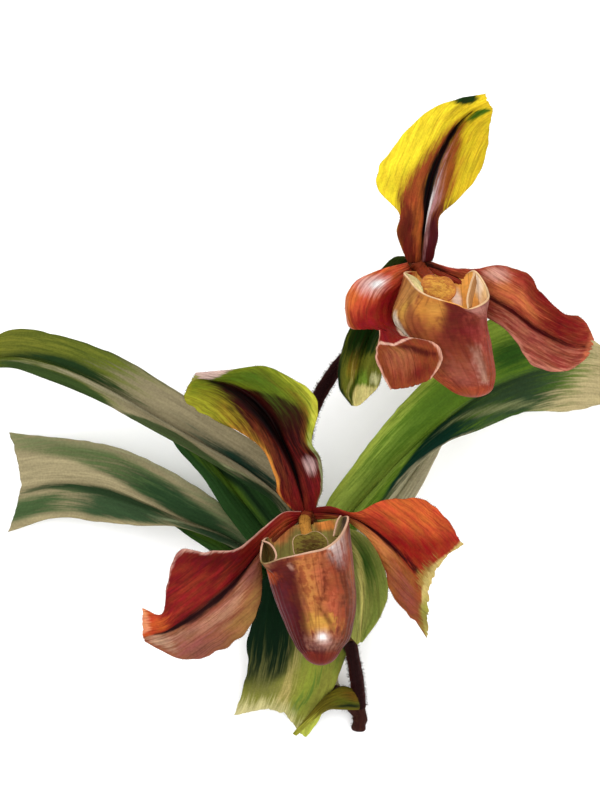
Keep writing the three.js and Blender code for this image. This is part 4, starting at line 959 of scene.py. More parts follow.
        Mark("pink_inner_margin", "#ecccb0", band((0.28, -1, 0.06), (0.4, -1, 0.2), (0.6, -1, 0.24),
            (0.68, -1, 0.1), soft=0.09)),
        # The curled end: brown-red of its own, darkened further by painted shade where it bends away.
        Mark("brown_curl_in_shade", "#8d4022", beyond((-1, 0.69), (1, 0.69), soft=0.012)),
        Mark("curled_olive", "#8c6a30", spot(0.76, 0.05, 0.06, 0.3, 0.9), 0.5),
        Mark("curled_fold", "#4c110c", band((0.7, -0.12, 0.16), (0.77, -0.3, 0.18), (0.86, -0.7, 0.16),
            soft=0.14, fade=0.03), 0.95),
        Mark("curled_fold_end", "#6e1c14", band((0.9, -0.4, 0.24), (0.97, -0.3, 0.4), soft=0.2,
            fade=0.04), 0.8),
        Mark("curled_light", "#b06344", spot(0.82, 0.25, 0.09, 0.4, 0.9), 0.65),
        # Painted highlight on the crest where the petal folds over into its curled end.
        Mark("pink_crest_highlight", "#e6b39c", band((0.668, 0, 2), (0.69, 0, 2), fade=0.008), 1.0, 0.2),
        Mark("pink_outer_margin", "#dfa48c", band((0.42, 1, 0.07), (1, 1, 0.08), soft=0.05)),
        Mark("pink_far_margin", "#dfa48c", band((0.7, -1, 0.07), (1, -1, 0.08), soft=0.05)),
    ]),
    "rear_right_petal": ("#b04a33", [
        Mark("dark_upper", "#741711", band((0.5, -0.95, 0.1), (0.66, -0.6, 0.5), (0.8, -0.5, 0.5),
            (0.95, -0.45, 0.4), soft=0.3)),
        Mark("orange_flush", "#d87a48", band((0.3, -0.35, 0.3), (0.42, -0.35, 0.34), (0.55, -0.3, 0.14),
            soft=0.3), 0.85),
        Mark("lower_half", "#9d4a36", band((0.3, 0.6, 0.5), (1, 0.6, 0.55), soft=0.14)),
        Mark("pink_low", "#b06a54", band((0.4, 0.5, 0.3), (0.6, 0.5, 0.4), (0.85, 0.55, 0.4), soft=0.3),
            0.55, 0.5),
        Mark("red_low", "#862a25", band((0.45, 0.62, 0.3), (0.7, 0.6, 0.36), (0.88, 0.6, 0.3),
            soft=0.3), 0.45, -0.7),
        Mark("pink_margin", "#c8806a", band((0.4, 1, 0.1), (0.95, 1, 0.12), soft=0.08), 0.8),
        Mark("dark_base", "#210a08", band((0, -0.5, 0.5), (0.08, -0.45, 0.4), (0.13, -0.4, 0.1),
            soft=0.2)),
        Mark("pink_shine", "#e6aa98", spot(0.37, -0.72, 0.055, 0.2, 0.9), 0.85, 0.15),
        Mark("dark_midrib", "#480f0d", band((0.08, 0.1, 0.06), (0.35, 0.05, 0.08), (0.5, 0.08, 0.11),
            (0.6, 0.04, 0.11), (0.72, 0, 0.09), (0.84, -0.03, 0.06), (0.95, -0.08, 0.04), soft=0.08,
            fade=0.03), 1.0, 0.35),
        Mark("orange_tip", "#c96a48", beyond((-1, 0.96), (1, 0.95), soft=0.02), 0.8),
    ]),
    "front_synsepal": ("#a9ac55", [
        Mark("dark_green", "#416522", band((0.22, 0.6, 0.24), (0.36, 0.52, 0.3), (0.5, 0.42, 0.24),
            (0.62, 0.35, 0.1), soft=0.2)),
        Mark("green_margin", "#788b38", band((0.4, 0.9, 0.2), (0.7, 0.7, 0.3), (1, 0.7, 0.3), soft=0.3),
            0.8),
        Mark("pale_inner", "#9ea25c", band((0.2, -0.2, 0.3), (0.6, -0.35, 0.24), (0.8, -0.4, 0.2),
            soft=0.2), 0.85),
        # Painted highlight along the midrib.
        Mark("yellow_midrib_highlight", "#eadf7c", band((0.25, 0.42, 0.04), (0.4, 0.24, 0.06), (0.52, 0.08, 0.08),
            (0.66, 0, 0.1), (0.84, -0.08, 0.1), (1, -0.1, 0.06), soft=0.1)),
    ]),
    "rear_synsepal": ("#6d7020", [
        Mark("dark_top", "#142e08", band((0.2, 0.1, 0.9), (0.48, 0.2, 0.75), (0.6, 0.6, 0.3), soft=0.3,
            fade=0.14)),
        Mark("golden_middle", "#8d7020", spot(0.66, 0.3, 0.08, 0.24, 0.9), 0.8),
        Mark("bright_green", "#7c9c30", spot(0.76, -0.2, 0.09, 0.3, 0.8), 0.9),
        Mark("cream_end", "#e0d284", beyond((-1, 0.8), (0, 0.81), (0.25, 0.85), (0.6, 0.98), (1, 1.05),
            soft=0.03)),
        Mark("pale_patch", "#c6c48a", spot(0.72, -0.75, 0.06, 0.2, 0.7), 0.9),
        Mark("dark_streak", "#24400a", band((0.7, -0.1, 0.06), (0.8, 0.2, 0.1), (0.88, 0.45, 0.12),
            (0.96, 0.7, 0.14), soft=0.14)),
        Mark("cream_streak", "#c2b56a", band((0.74, 0.3, 0.03), (0.8, 0.45, 0.08), (0.9, 0.75, 0.04),
            soft=0.1), 0.7),
        Mark("dark_margin", "#14260a", band((0.5, 1, 0.16), (1, 1, 0.12), soft=0.12)),
    ]),
}


# ------------------------------------------------------------------ leaves and bracts


def build_blade(name, shape, at, thickness, slot, base, marks, look, **drawing):
    """One leaf, bract, sepal or petal as a piece of its own."""
    skin = Skin()
    centre, normal = blade(skin, shape, at, thickness, **drawing)
    if "fringe" in look:
        fringe(skin, centre, normal, **look["fringe"])
    skin.build(name, slot, base, marks, **look["tissue"])


def fringe(skin, centre, normal, count, length, thick, seed):
    """Fine hairs that stand out from both margins of a blade."""
    rng = np.random.default_rng(seed)
    roots, ways = [], []
    for column, inner in ((0, 3), (-1, -4)):
        row = rng.integers(4, len(centre) - 3, count)
        outwards = unit(centre[row, column] - centre[row, inner])
        roots.append(centre[row, column] - outwards * 0.1)
        ways.append(outwards + 0.25 * normal[row, column] * rng.normal(0, 1, (count, 1)))
    hairs(skin, np.concatenate(roots), np.concatenate(ways), length, thick, seed + 1)


LEAVES = {
    "leaf_upper_left": (LEAF_UPPER_LEFT, {"ribs": 13, "keel": 0.35}),
    "leaf_lower_left": (LEAF_LOWER_LEFT, {"ribs": 13, "keel": 0.35, "ragged": 0.003}),
    "leaf_shaded_left": (LEAF_SHADED_LEFT, {"ribs": 11, "keel": 0.3}),
    "leaf_lowest_left": (LEAF_LOWEST_LEFT, {"ribs": 11, "keel": 0.3}),
    "leaf_upper_right": (LEAF_UPPER_RIGHT, {"ribs": 13, "keel": 0.35}),
    "leaf_lowest_right": (LEAF_LOWEST_RIGHT, {"ribs": 11, "keel": 0.3}),
    "leaf_front": (LEAF_FRONT, {"ribs": 13, "keel": 0.3, "ragged": 0.015}),
}
LEAF_LOOK = {"tissue": {"grain": (28, 2.2, 1), "fine": (9, 0.7, 1), "shade": 0.15,
                        "underside": ("#8b9a6a", 0.45), "roughness": 0.5, "bump": 0.3}}

for index, (name, (shape, drawing)) in enumerate(LEAVES.items()):
    base, marks = LEAF_MARKS[name]
    build_blade(name, shape, ORIGIN, LEAF_THICKNESS, "leaf", base, marks, LEAF_LOOK,
                rows=150, columns=64, frill=0.35, seed=10 * index + 3, **drawing)

BRACT_LOOK = {"fringe": {"count": 90, "length": 1.1, "thick": 0.05, "seed": 5},
              "tissue": {"grain": (10, 0.8, 1), "fine": (5, 0.3, 1), "shade": 0.3,
                         "roughness": 0.55, "bump": 0.3}}
base, marks = LEAF_MARKS["scape_bract"]
build_blade("scape_bract", SCAPE_BRACT, ORIGIN, BRACT_THICKNESS, "bract", base, marks, BRACT_LOOK,
            rows=90, columns=44, frill=0.3, keel=0.3, seed=91)

BLOOM_BLADES = {
    "dorsal_sepal": ("dorsal_sepal", {"keel": 0.9, "frill": 0.8, "ribs": 9, "ragged": 0.02}),
    "synsepal": ("synsepal", {"keel": 0.5, "frill": 0.4, "ribs": 7}),
    "left_petal": ("petal", {"keel": 0.7, "frill": 0.9, "ribs": 9, "ragged": 0.008}),
    "right_petal": ("petal", {"keel": 0.7, "frill": 0.9, "ribs": 9, "ragged": 0.04}),
}
PETAL_LOOK = {"fringe": {"count": 170, "length": 0.8, "thick": 0.045, "seed": 17},
              "tissue": {"grain": (18, 1.5, 1), "fine": (5, 0.55, 1), "shade": 0.13,
                         "vein": ("#3a100c", 0.3), "roughness": 0.42, "blotch": 0.12,
                         "bump": 0.25}}
BLOOM_BRACT = ("#3f5220", [
    Mark("dark_side", "#14260d", band((0, 0.6, 0.4), (1, 0.5, 0.5), soft=0.3)),
    Mark("spots", "#2b1a10", spot(0.2, -0.2, 0.1, 0.3, 1.0), 0.6),
])
BLOOMS = {"front": (FRONT, FRONT_BLOOM), "rear": (REAR, REAR_BLOOM)}

for number, (side, (bloom, place)) in enumerate(BLOOMS.items()):
    for index, (kind, (slot, drawing)) in enumerate(BLOOM_BLADES.items()):
        name = f"{side}_{kind}"
        base, marks = BLOOM_MARKS[name]
        build_blade(name, bloom[kind], place, PETAL_THICKNESS, slot, base, marks, PETAL_LOOK,
                    rows=130, columns=76, seed=100 + 50 * number + 10 * index, **drawing)
    base, marks = BLOOM_BRACT
    build_blade(f"{side}_bract", bloom["bract"], place, BRACT_THICKNESS, "bract", base, marks,
                BRACT_LOOK, rows=70, columns=40, frill=0.3, keel=0.4, seed=190 + number)

# ------------------------------------------------------------------ stalks, ovaries and crown

FRONT_SCAPE_PATH = [(14, -5, 7), (13, 4.5, 13), (11.5, 13, 20), (10, 22, 26)]
REAR_SCAPE_PATH = [(-4, 47, 10), (-5, 62, 13), (-8, 80, 16), (-8.5, 98, 19), (-4.5, 115, 23),
                   (3, 128.5, 26), (11, 138, 29.5)]
RHIZOME_PATH = [(13.5, -14.5, 2.2), (14, -8.5, 2.6), (10.5, -3.5, 3.4), (5.5, -1, 3.8), (0, 0, 4)]
FALSE_STEM_PATH = [(0, -1.5, 3.2), (-2, 6, 3.6), (-3.5, 20, 5.2), (-4, 34, 7.5), (-3.5, 44, 10),
                   (-4, 51, 12)]


def hairy_tube(skin, path, radius, hair_count, hair_length, seed, **drawing):
    """A tube with hairs scattered evenly over it."""
    grid, outward = tube(skin, path, radius, seed=seed, **drawing)
    rng = np.random.default_rng(seed)
    row = rng.uniform(0, len(grid) - 1.001, hair_count)
    column = rng.integers(0, grid.shape[1], hair_count)
    i = row.astype(int)
    w = (row - i)[:, None]
    roots = mix(grid[i, column], grid[i + 1, column], w)
    hairs(skin, roots, outward[i, column], hair_length, HAIR_THICKNESS, seed + 1)


def scape(name, path, rows, hair_count, seed):
    """A flower stalk with shallow flutes and a coat of short hairs."""
    skin = Skin()
    radius = lambda t, angle: (SCAPE_RADIUS * (0.98 + 0.03 * np.cos(5 * angle + 4 * t))
                               + 0.14 * wander(t * rows * 1.2 + 3 * np.cos(angle), 3, seed))
    hairy_tube(skin, path, radius, hair_count, 1.3, seed, rows=rows)
    marks = [Mark("dark_top", "#1b0809", band((0, 1, 0.4), (1, 1, 0.4), soft=0.3), 0.9, 0.5)]
    skin.build(name, "scape", "#451b17", marks, grain=(14, 1.2, 1.2), fine=(5, 0.4, 0.4),
               shade=0.5, roughness=0.6, hair="#3a1512", vein=("#140606", 0.8), bump=0.5)


scape("front_scape", FRONT_SCAPE_PATH, 50, 900, 21)
scape("rear_scape", REAR_SCAPE_PATH, 130, 2600, 22)


def ovary(side, bloom, place, seed):
    """The ribbed seed vessel, hairy like the stalk, with a collar where the bloom begins."""
    skin = Skin()
    path = np.asarray(bloom["ovary_path"], float) + place
    ribs = lambda angle: 1 - np.abs(np.sin(3 * angle))**0.7
    radius = lambda t, angle: (OVARY_RADIUS * (0.75 + 0.35 * np.sin(np.pi * t**0.8))
                               - 0.35 + 0.75 * ribs(angle) + 0.5 * smooth((t - 0.88) / 0.1))
    hairy_tube(skin, path, radius, 900, 1.0, seed, rows=70, sides=48, caps=(0.5, 0.6))
    marks = [Mark("red_tip", "#8a3a20", band((0.88, 0, 2), (1, 0, 2), fade=0.05))]
    skin.build(f"{side}_ovary", "ovary", "#59401f", marks, grain=(16, 0.9, 0.9),
               fine=(5, 0.4, 0.4), shade=0.4, vein=("#2c1210", 0.6), hair="#4b241a", bump=0.4)


def crown():
    """The rhizome's cut end, and the flat false stem of leaf sheaths that clasp one another."""
    skin = Skin()
    rings = lambda t: 0.18 * np.sin(38 * t + 1.5 * np.sin(9 * t))
    rhizome = lambda t, angle: (mix(RHIZOME_RADIUS, CROWN_RADIUS, t**2) + rings(t)
                                + 0.3 * wander(angle * 2 + t * 9, 0.7, 31))
    hairy_tube(skin, RHIZOME_PATH, rhizome, 260, 0.9, 32, rows=60, sides=40)

    def sheath(t, angle):
        """Radius of the false stem, a step wider below the mouth of each of its five sheaths."""
        width = 5.7 + 6.3 * t - 4.5 * t**4
        step = 0.0
        for k, end in enumerate((0.16, 0.32, 0.5, 0.68, 0.84)):
            mouth = end + 0.07 * np.cos(angle + (k % 2) * np.pi) + 0.012 * np.sin(5 * angle + k)
            step = step + 0.45 * (1 - smooth((t - mouth) / 0.012))
        return width - 1.4 + step + 0.12 * np.cos(26 * angle)

    tube(skin, FALSE_STEM_PATH, sheath, rows=150, sides=72, flatten=0.55, seed=33, index=1)
    marks = [
        Mark("sheaths", "#8f8a58", SECOND_PART),
        Mark("cream_foot", "#d9c8aa", band((2.1, 0, 2), (2.4, 0, 2), fade=0.1), 0.9),
        Mark("brown_knob", "#4a2a1e", band((1.9, 0, 2), (2.04, 0, 2), fade=0.03)),
    ]
    skin.build("crown", "crown", "#3d1e18", marks, grain=(14, 1.0, 1.0), fine=(6, 0.4, 0.4),
               shade=0.35, hair="#6b4a30", roughness=0.6, bump=0.5)


crown()

# ------------------------------------------------------------------ pouches and columns


def pouch_skin(bloom, v, turn):
    """Outer surface of a pouch; v is 0 at the rim and 1 at the last ring, then rounds the toe."""
    angle = 2 * np.pi * turn
    outwards = np.stack([np.sin(angle), 0 * angle, np.cos(angle)], axis=-1)
    knots = [ring_spline(bloom["rim"], turn)]
    for at, wide, deep in bloom["rings"]:
        knots.append(np.asarray(at, float) + outwards * np.array([wide, 0, deep]))
    return centripetal(np.array(knots), v)


def centripetal(knots, v):
    """three.js's centripetal curve through rows of knots, at one parameter."""
    spans = len(knots) - 1
    place = min(max(v * spans, 0), spans - 1e-9)
    i = int(place)
    w = place - i
    before = knots[i - 1] if i > 0 else 2 * knots[0] - knots[1]
    after = knots[i + 2] if i + 2 < len(knots) else 2 * knots[-1] - knots[-2]
    here, there = knots[i], knots[i + 1]
    gap = lambda a, b: np.maximum(np.sum((a - b)**2, axis=-1)**0.25, 1e-4)[:, None]
    d0, d1, d2 = gap(before, here), gap(here, there), gap(there, after)
    m1 = ((here - before) / d0 - (there - before) / (d0 + d1) + (there - here) / d1) * d1
    m2 = ((there - here) / d1 - (after - here) / (d1 + d2) + (after - there) / d2) * d1
    return cubic(here, there, m1, m2, w)


def around(values, turn):
    """A value that changes evenly between stations round a closed loop."""
    return np.interp(turn * len(values), range(len(values) + 1), [*values, values[0]])


def slipper(bloom, toe, seed):
    """Outer skin of a pouch: its points, their normals, and how far along and across they lie."""
    turn = np.arange(POUCH_SIDES) / POUCH_SIDES
    v = np.linspace(0, 1, POUCH_LEVELS)
    outer = np.array([pouch_skin(bloom, k, turn) for k in v])
    last, centre = outer[-1], outer[-1].mean(axis=0)
    k = np.arange(1, TOE_LEVELS)[:, None, None] / TOE_LEVELS
    inwards = mix(k, 1 - np.cos(k * np.pi / 2), TOE_BLUNTNESS)
    outer = np.concatenate([outer, mix(last, centre, inwards)
                            + (toe - centre) * np.sin(k * np.pi / 2)])
    along = np.concatenate([v * TOE_START, mix(TOE_START, 1, k.ravel())])
    normal = -grid_normals(outer, wrap=True)
    across = np.where(turn > 0.5, turn - 1, turn) * 2
    tt, ss = np.meshgrid(along, across, indexing="ij")
    veins = 0.12 * np.cos(34 * np.pi * ss + 1.2 * np.sin(9 * tt)) * smooth(tt / 0.1)
    crease = 0.4 * np.exp(-(ss / 0.035)**2) * smooth((tt - 0.02) / 0.1) * smooth((0.7 - tt) / 0.2)
    lumps = 0.35 * wander(tt * 55 + 4 * np.sin(2 * np.pi * turn), 7, seed) * smooth(tt / 0.1)
    outer = outer + normal * ((veins - crease + lumps) * smooth((0.97 - tt) / 0.1))[..., None]
    return outer, normal, tt, ss


def pouch(side, bloom, place, look, seed):
    """The slipper: an outer and an inner skin joined by a rolled lip, and its side lobes."""
    sides = POUCH_SIDES
    toe = np.asarray(bloom["toe"], float)
    outer, normal, tt, ss = slipper(bloom, toe, seed)
    inner = outer - normal * mix(LIP_WALL, POUCH_WALL, smooth(tt / 0.08))[..., None]
    # A half-round lip from the inner to the outer skin, thicker where it is pale.
    pale = around(bloom["lip"], np.arange(sides) / sides)
    half = (outer[0] - inner[0]) / 2
    rise = unit(outer[0] - outer[2]) * np.linalg.norm(half, axis=-1, keepdims=True)
    angle = np.linspace(np.pi, 0, LIP_ROWS)[:, None, None]
    bulge = mix(0.9, 1.4, pale)[:, None]
    lip = (outer[0] + inner[0]) / 2 + bulge * (half * np.cos(angle) + rise * np.sin(angle))
    grid = np.concatenate([inner[::-1], lip, outer])
    rows, spread = len(grid), np.ones((LIP_ROWS, 1))
    pale = pale[None]
    rim = np.concatenate([0 * tt[:-1], 0.5 * pale, spread * pale, 0.9 * pale, 0.4 * pale,
                          0 * tt[2:]])
    within = np.concatenate([1 + 0 * tt, spread * (1 - pale), 0 * tt])
    tt, ss = (np.concatenate([k[::-1], spread * k[:1], k]) for k in (tt, ss))
    strip = np.stack([tt * POUCH_LENGTH, POUCH_FLANK * ss * np.pi / 2, np.full_like(tt, seed)],
                     axis=-1)
    # The outer and the inner skin each close in one point at the toe.
    tips = [toe, toe + [0, TOE_WALL, 0]]
    faces = grid_faces(rows, sides, wrap=True, flip=True)
    for j in range(sides):
        after = (j + 1) % sides
        faces.append((rows * sides, (rows - 1) * sides + after, (rows - 1) * sides + j))
        faces.append((j, after, rows * sides + 1))
    ended = lambda values, ends: np.append(values.ravel(), ends)
    skin = Skin()
    skin.add(np.concatenate([grid.reshape(-1, 3), tips]) + place, faces, along=ended(tt, [1, 1]),
             across=ended(ss, [0, 0]), face=1.0, rim=ended(rim, [0, 0]),
             inside=ended(within, [0, 1]),
             strip=np.concatenate([strip.reshape(-1, 3), strip[-1:, 0], strip[:1, 0]]))
    for index, (shape, pale_side) in enumerate(bloom["lobes"]):
        blade(skin, shape, place, LOBE_THICKNESS, rows=40, columns=24, ribs=5, rib_depth=0.04,
              keel=0, seed=seed + index, lobe=index, lip=pale_side)
    skin.build(f"{side}_pouch", "pouch", marks=look["marks"], grain=(14, 1.6, 1),
               fine=(3, 0.6, 1), shade=0.1, vein=("#5c1e12", 0.35), roughness=0.4, blotch=0.1,
               bump=0.2, glow=look["glow"], **look["colours"])


def turning(lean, turn):
    """Rotation matrix: lean about X, then turn about Z."""
    cl, sl, ct, st = np.cos(lean), np.sin(lean), np.cos(turn), np.sin(turn)
    about_x = np.array([[1, 0, 0], [0, cl, -sl], [0, sl, cl]])
    about_z = np.array([[ct, -st, 0], [st, ct, 0], [0, 0, 1]])
    return about_z @ about_x


def column(side, bloom, place, colours, seed):
    """The column, ending in the staminode: a warty heart-shaped shield with a pale edge."""
    skin = Skin()
    path = np.asarray(bloom["column_path"], float) + place
    radius = lambda t, angle: COLUMN_RADIUS * (1 - 0.15 * t) * (1 + 0.12 * np.cos(2 * angle))
    hairy_tube(skin, path, radius, 160, 0.7, seed, rows=36, sides=28)
    at, tilt, spin = bloom["shield"]
    rows, sides = 44, 80
    kk, aa = np.meshgrid(np.linspace(0, 1, rows), np.arange(sides) * 2 * np.pi / sides,
                         indexing="ij")
    swell = lambda wave: np.sign(wave) * np.abs(wave)**0.82
    notch = 1 - 0.16 * np.exp(-((aa - np.pi * 0.55) / 0.22)**2) + 0.03 * np.cos(5 * aa)
    x = SHIELD_SIZE[0] * kk * notch * swell(np.cos(aa))
    y = SHIELD_SIZE[1] * kk * notch * swell(np.sin(aa))
    wart = 0.7 * np.exp(-(kk / 0.16)**2) + 0.22 * wander(6 * x + 11 * y, 5, seed) * (1 - kk**4)
    dome = 1.3 * (1 - kk**2) + wart + 0.5 * np.exp(-((kk - 0.95) / 0.04)**2)
    turned = turning(tilt, spin)
    for height, flip, face in ((dome, False, 1.0), (kk**3 - 1, True, 0.0)):
        points = np.stack([x, y, height], axis=-1).reshape(-1, 3) @ turned.T
        faces = grid_faces(rows, sides, wrap=True, flip=flip)
        skin.add(points + np.asarray(at, float) + place, faces, along=kk.ravel(), face=face,
                 rim=smooth((kk - 0.925) / 0.05).ravel(), lobe=1.0, strip=points)
    marks = [Mark("boss", colours["boss"], spot(0.2, 0, 0.4, 9, 0.9), 0.9, 0.6, on="lobe")]
    skin.build(f"{side}_column", "column", colours["base"], marks, grain=(5, 1.2, 1.2),
               fine=(1.5, 0.5, 0.5), shade=0.18, lobe=colours["lobe"], rim=colours["rim"],
               hair="#6b4420", roughness=0.4, bump=0.3)


FRONT_POUCH = {
    "glow": 0.5,
    "colours": {"base": "#5c2024", "inside": "#958a4a", "lobe": "#5c4a26", "rim": "#dcae92"},
    "marks": [
        Mark("orange_shoulder", "#c8552c", spot(0.2, -0.42, 0.06, 0.14, 0.8), 0.9),
        Mark("tan_ear_wall", "#bd8d66", band((0, -0.4, 0.16), (0.09, -0.42, 0.12), (0.15, -0.42, 0.08),
            soft=0.1, fade=0.03)),
        Mark("dark_left_end", "#4e1513", band((0.6, -0.28, 0.16), (0.8, -0.3, 0.2), (0.92, -0.2, 0.2),
            soft=0.16)),
        Mark("red_left_top", "#7a2b1a", band((0.03, -0.22, 0.08), (0.2, -0.24, 0.08), soft=0.12), 0.8),
        Mark("brown_right", "#7c4028", band((0.04, 0.3, 0.2), (0.4, 0.3, 0.18), (0.9, 0.28, 0.18),
            soft=0.16)),
        Mark("mauve_edge", "#96655a", band((0.05, 0.42, 0.1), (0.45, 0.44, 0.08), soft=0.12), 0.7),
        Mark("brown_shoulder", "#a05c3c", band((0, 0.37, 0.05), (0.3, 0.38, 0.05), soft=0.06), 0.8),
        # Painted highlight on the right shoulder below the rim.
        Mark("shoulder_highlight", "#dfc0b8", spot(-0.01, 0.26, 0.13, 0.1, 0.8), 0.9, 0.08),
        Mark("rim_shine", "#fff4f0", spot(0.012, 0.21, 0.016, 0.035, 0.8), 1.0, 0.1),
        # Painted shade along the right edge of the pouch where it turns away.
        Mark("shaded_right_edge", "#54302a", band((0.55, 0.46, 0.12), (0.85, 0.46, 0.18), soft=0.16)),
        Mark("panel", "#c66a44", band((0.0, 0.03, 0.14), (0.2, 0.04, 0.15), (0.5, 0.05, 0.17),
            (0.66, 0.03, 0.15), soft=0.08)),
        Mark("golden_left", "#c98a45", band((0.06, -0.02, 0.06), (0.3, -0.02, 0.07), (0.5, -0.01, 0.09),
            (0.62, 0, 0.12), soft=0.1), 0.9),
        Mark("red_fibres", "#8f4026", band((0.04, 0.1, 0.1), (0.3, 0.11, 0.11), (0.5, 0.12, 0.1),
            soft=0.14), 0.75, 0.8),
        Mark("golden_end", "#dea44a", spot(0.585, 0.01, 0.07, 0.12, 0.9), 0.9, 0.4),
        Mark("dark_thread", "#54190f", band((0.06, 0.11, 0.012), (0.3, 0.09, 0.014),
            (0.45, 0.02, 0.014), (0.6, 0.12, 0.018), soft=0.03), 0.8),
        Mark("dark_edge", "#4a1114", band((0.08, -0.17, 0.04), (0.3, -0.15, 0.04), (0.6, -0.17, 0.05),
            (0.8, -0.2, 0.1), soft=0.08), 0.9),
        Mark("small_shine", "#d3a08e", spot(0.12, -0.13, 0.045, 0.018, 0.9), 0.75),
        Mark("mauve_toe", "#9d6a5d", spot(0.77, 0.04, 0.1, 0.17, 0.9), 0.9, 0.2),
        Mark("toe_glow", "#dcbcae", spot(0.695, 0.03, 0.06, 0.075, 0.9), 0.85, 0.1),
        Mark("toe_shine", "#fff6f4", spot(0.68, 0.025, 0.03, 0.04, 0.9), 1.0, 0.06),
        Mark("red_toe", "#74281c", beyond((-1, 0.88), (1, 0.88), soft=0.06), 0.8),
        Mark("orange_back_left", "#dd8d50", band((0, -0.74, 0.15), (0.05, -0.72, 0.1), soft=0.08,
            fade=0.03), on="inside"),
        Mark("orange_back_right", "#f59c4a", band((0, 0.82, 0.11), (0.035, 0.8, 0.1), soft=0.05,
            fade=0.01), on="inside"),
        Mark("dark_hollow", "#45381a", spot(0.04, -0.46, 0.12, 0.15, 0.4), on="inside"),
        Mark("grey_hollow", "#5d4d3e", spot(0.02, 0.53, 0.06, 0.12, 0.4), on="inside"),
        Mark("yellow_ear", "#dcc47e", SECOND_PART, on="lobe"),
    ],
}
REAR_POUCH = {
    "glow": 0.65,
    "colours": {"base": "#8f3e28", "inside": "#eaa751", "lobe": "#e8d694", "rim": "#ebc295"},
    "marks": [
        Mark("tan_left", "#bd7f45", band((0, -0.42, 0.2), (0.2, -0.36, 0.14), (0.36, -0.32, 0.08),
            soft=0.12)),
        Mark("golden_panel", "#d1873c", band((0, -0.08, 0.15), (0.12, -0.08, 0.13), (0.22, -0.06, 0.1),
            (0.33, -0.06, 0.05), soft=0.05, fade=0.06)),
        Mark("golden_glow", "#dc9c48", spot(0.12, -0.03, 0.1, 0.07, 0.9), 0.8),
        Mark("golden_left", "#d39a46", spot(0.15, -0.3, 0.1, 0.05, 0.9)),
        Mark("brown_line", "#86452a", band((0.06, -0.34, 0.015), (0.15, -0.24, 0.02),
            (0.36, -0.2, 0.03), soft=0.04), 0.9),
        Mark("brown_middle", "#9a4c2b", band((0.28, -0.14, 0.1), (0.5, -0.12, 0.12), soft=0.16)),
        Mark("dark_centre", "#661c1a", band((0, 0.16, 0.1), (0.12, 0.17, 0.11), (0.25, 0.15, 0.13),
            (0.45, 0.06, 0.12), soft=0.08)),
        Mark("dark_right", "#701f1e", band((0.1, 0.22, 0.04), (0.3, 0.26, 0.08), (0.5, 0.3, 0.06),
            soft=0.12), 0.8),
        Mark("pink_flank", "#b97d72", band((0, 0.44, 0.15), (0.1, 0.42, 0.13), (0.24, 0.42, 0.07),
            soft=0.1), 0.9, 0.12),
        Mark("rose_flank", "#a04a3a", band((0.3, 0.4, 0.1), (0.6, 0.4, 0.14), soft=0.16)),
        Mark("mauve_end", "#9b5442", spot(0.75, -0.02, 0.16, 0.16, 0.9), 0.8),
        Mark("pale_stripe", "#cc9f8a", band((0.5, 0.21, 0.02), (0.62, 0.21, 0.035), (0.8, 0.22, 0.03),
            soft=0.08, fade=0.1), 0.8, 0.12),
        Mark("white_strip", "#fff3da", band((0.2, -0.4, 0.02), (0.28, -0.38, 0.05), (0.38, -0.35, 0.05),
            soft=0.04, fade=0.04), 1.0, 0.1),
        Mark("orange_left_end", "#b35c35", spot(0.75, -0.35, 0.2, 0.15, 0.9), 0.8),
        Mark("orange_toe", "#a84c2a", beyond((-1, 0.88), (1, 0.9), soft=0.06), 0.7),
        Mark("yellow_back", "#f2bf55", spot(0.08, -1.0, 0.09, 0.12, 0.8), on="inside"),
        Mark("olive_back", "#c99a40", spot(0.1, -0.84, 0.05, 0.04, 0.8), on="inside"),
        Mark("red_back", "#8c2b1c", band((0, -0.66, 0.12), (0.02, -0.68, 0.1), soft=0.05, fade=0.01),
            on="inside"),
        Mark("inner_shine", "#ffeadb", spot(0.13, 0.86, 0.06, 0.035, 0.6), 0.9, 0.1, on="inside"),
        Mark("ear_hollow", "#e6bd88", spot(0.04, 0.53, 0.14, 0.16, 0.3), on="inside"),
        # Painted highlight: a cream streak inside the right ear.
        Mark("ear_highlight", "#f2dcc2", spot(0.04, 0.64, 0.07, 0.04, 0.8), 0.9, on="inside"),
        Mark("ear_shade", "#94503a", spot(0.09, 0.47, 0.04, 0.06, 0.7), on="inside"),
        Mark("tan_ear", "#c89058", SECOND_PART, on="lobe"),
    ],
}
FRONT_COLUMN = {"base": "#c78a3c", "lobe": "#80702f", "boss": "#4f3518", "rim": "#cfa786"}
REAR_COLUMN = {"base": "#983e25", "lobe": "#cb7e3c", "boss": "#d69c42", "rim": "#c47440"}

pouch("front", FRONT, FRONT_BLOOM, FRONT_POUCH, 41)
pouch("rear", REAR, REAR_BLOOM, REAR_POUCH, 43)
column("front", FRONT, FRONT_BLOOM, FRONT_COLUMN, 51)
column("rear", REAR, REAR_BLOOM, REAR_COLUMN, 52)
ovary("front", FRONT, FRONT_BLOOM, 61)
ovary("rear", REAR, REAR_BLOOM, 62)

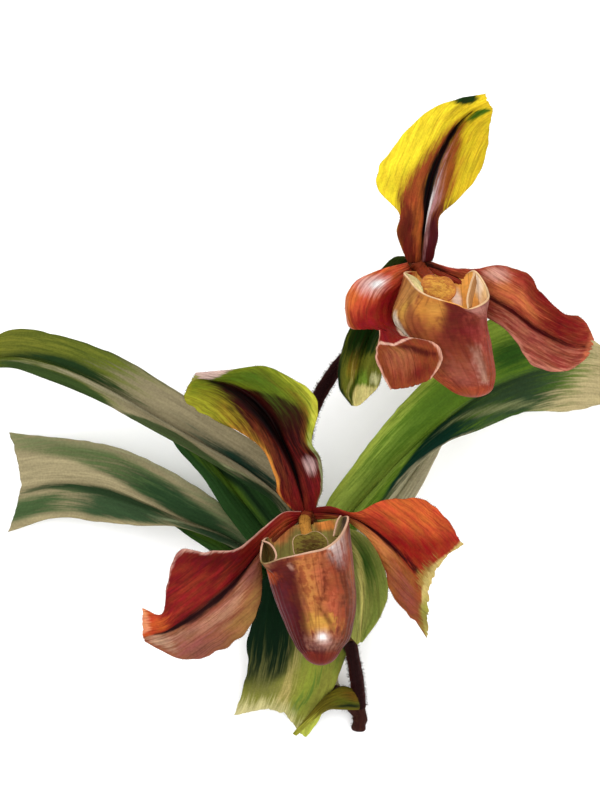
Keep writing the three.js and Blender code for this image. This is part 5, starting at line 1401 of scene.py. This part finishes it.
# ------------------------------------------------------------------ floor, light and camera


FLOOR_HALF = 3.0
FLOOR_LEVEL = -0.0002
LAMP_SIZE = 1.4
SUBJECT = (0, 0.12, 0.04)


def floor():
    """A wide sheet of white paper just under the plant."""
    mesh = bpy.data.meshes.new("floor")
    corners = [(x * FLOOR_HALF, y * FLOOR_HALF, FLOOR_LEVEL)
               for x, y in ((-1, -1), (1, -1), (1, 1), (-1, 1))]
    mesh.from_pydata(corners, [], [(0, 1, 2, 3)])
    n = Nodes("floor")
    paper = n.add("ShaderNodeTexNoise", {"Scale": 900.0, "Detail": 3.0})
    colour = n.scale([1, 1, 1], n.ramp(paper, 0.2, 0.8, 0.985, 1.0))
    n.feed(n.shader.inputs["Base Color"], colour)
    n.shader.inputs["Roughness"].default_value = 0.9
    n.shader.inputs["Specular IOR Level"].default_value = 0.1
    mesh.materials.append(n.material)
    plane = bpy.data.objects.new("floor", mesh)
    bpy.context.scene.collection.objects.link(plane)


def lamp(name, at, power):
    """A soft square lamp that faces the middle of the plant."""
    data = bpy.data.lights.new(name, "AREA")
    data.shape = "SQUARE"
    data.size = LAMP_SIZE
    data.energy = power
    light = bpy.data.objects.new(name, data)
    light.location = at
    light.rotation_mode = "QUATERNION"
    way = Vector(SUBJECT) - Vector(at)
    light.rotation_quaternion = way.to_track_quat("-Z", "Y")
    bpy.context.scene.collection.objects.link(light)


floor()
lamp("key", (-0.7, 0.75, 1.3), power=6.8)
lamp("fill", (0.9, -0.3, 1.2), power=4.3)

world = bpy.data.worlds.new("studio")
world.use_nodes = True
background = world.node_tree.nodes["Background"]
background.inputs["Color"].default_value = (1, 1, 1, 1)
background.inputs["Strength"].default_value = 1.64
scene = bpy.context.scene
scene.world = world
scene.view_settings.view_transform = "Standard"

camera_data = bpy.data.cameras.new("camera")
camera_data.lens = 900
camera_data.clip_end = 100
camera = bpy.data.objects.new("camera", camera_data)
camera.location = (-0.010, 0.118, 8.045)
scene.collection.objects.link(camera)
scene.camera = camera
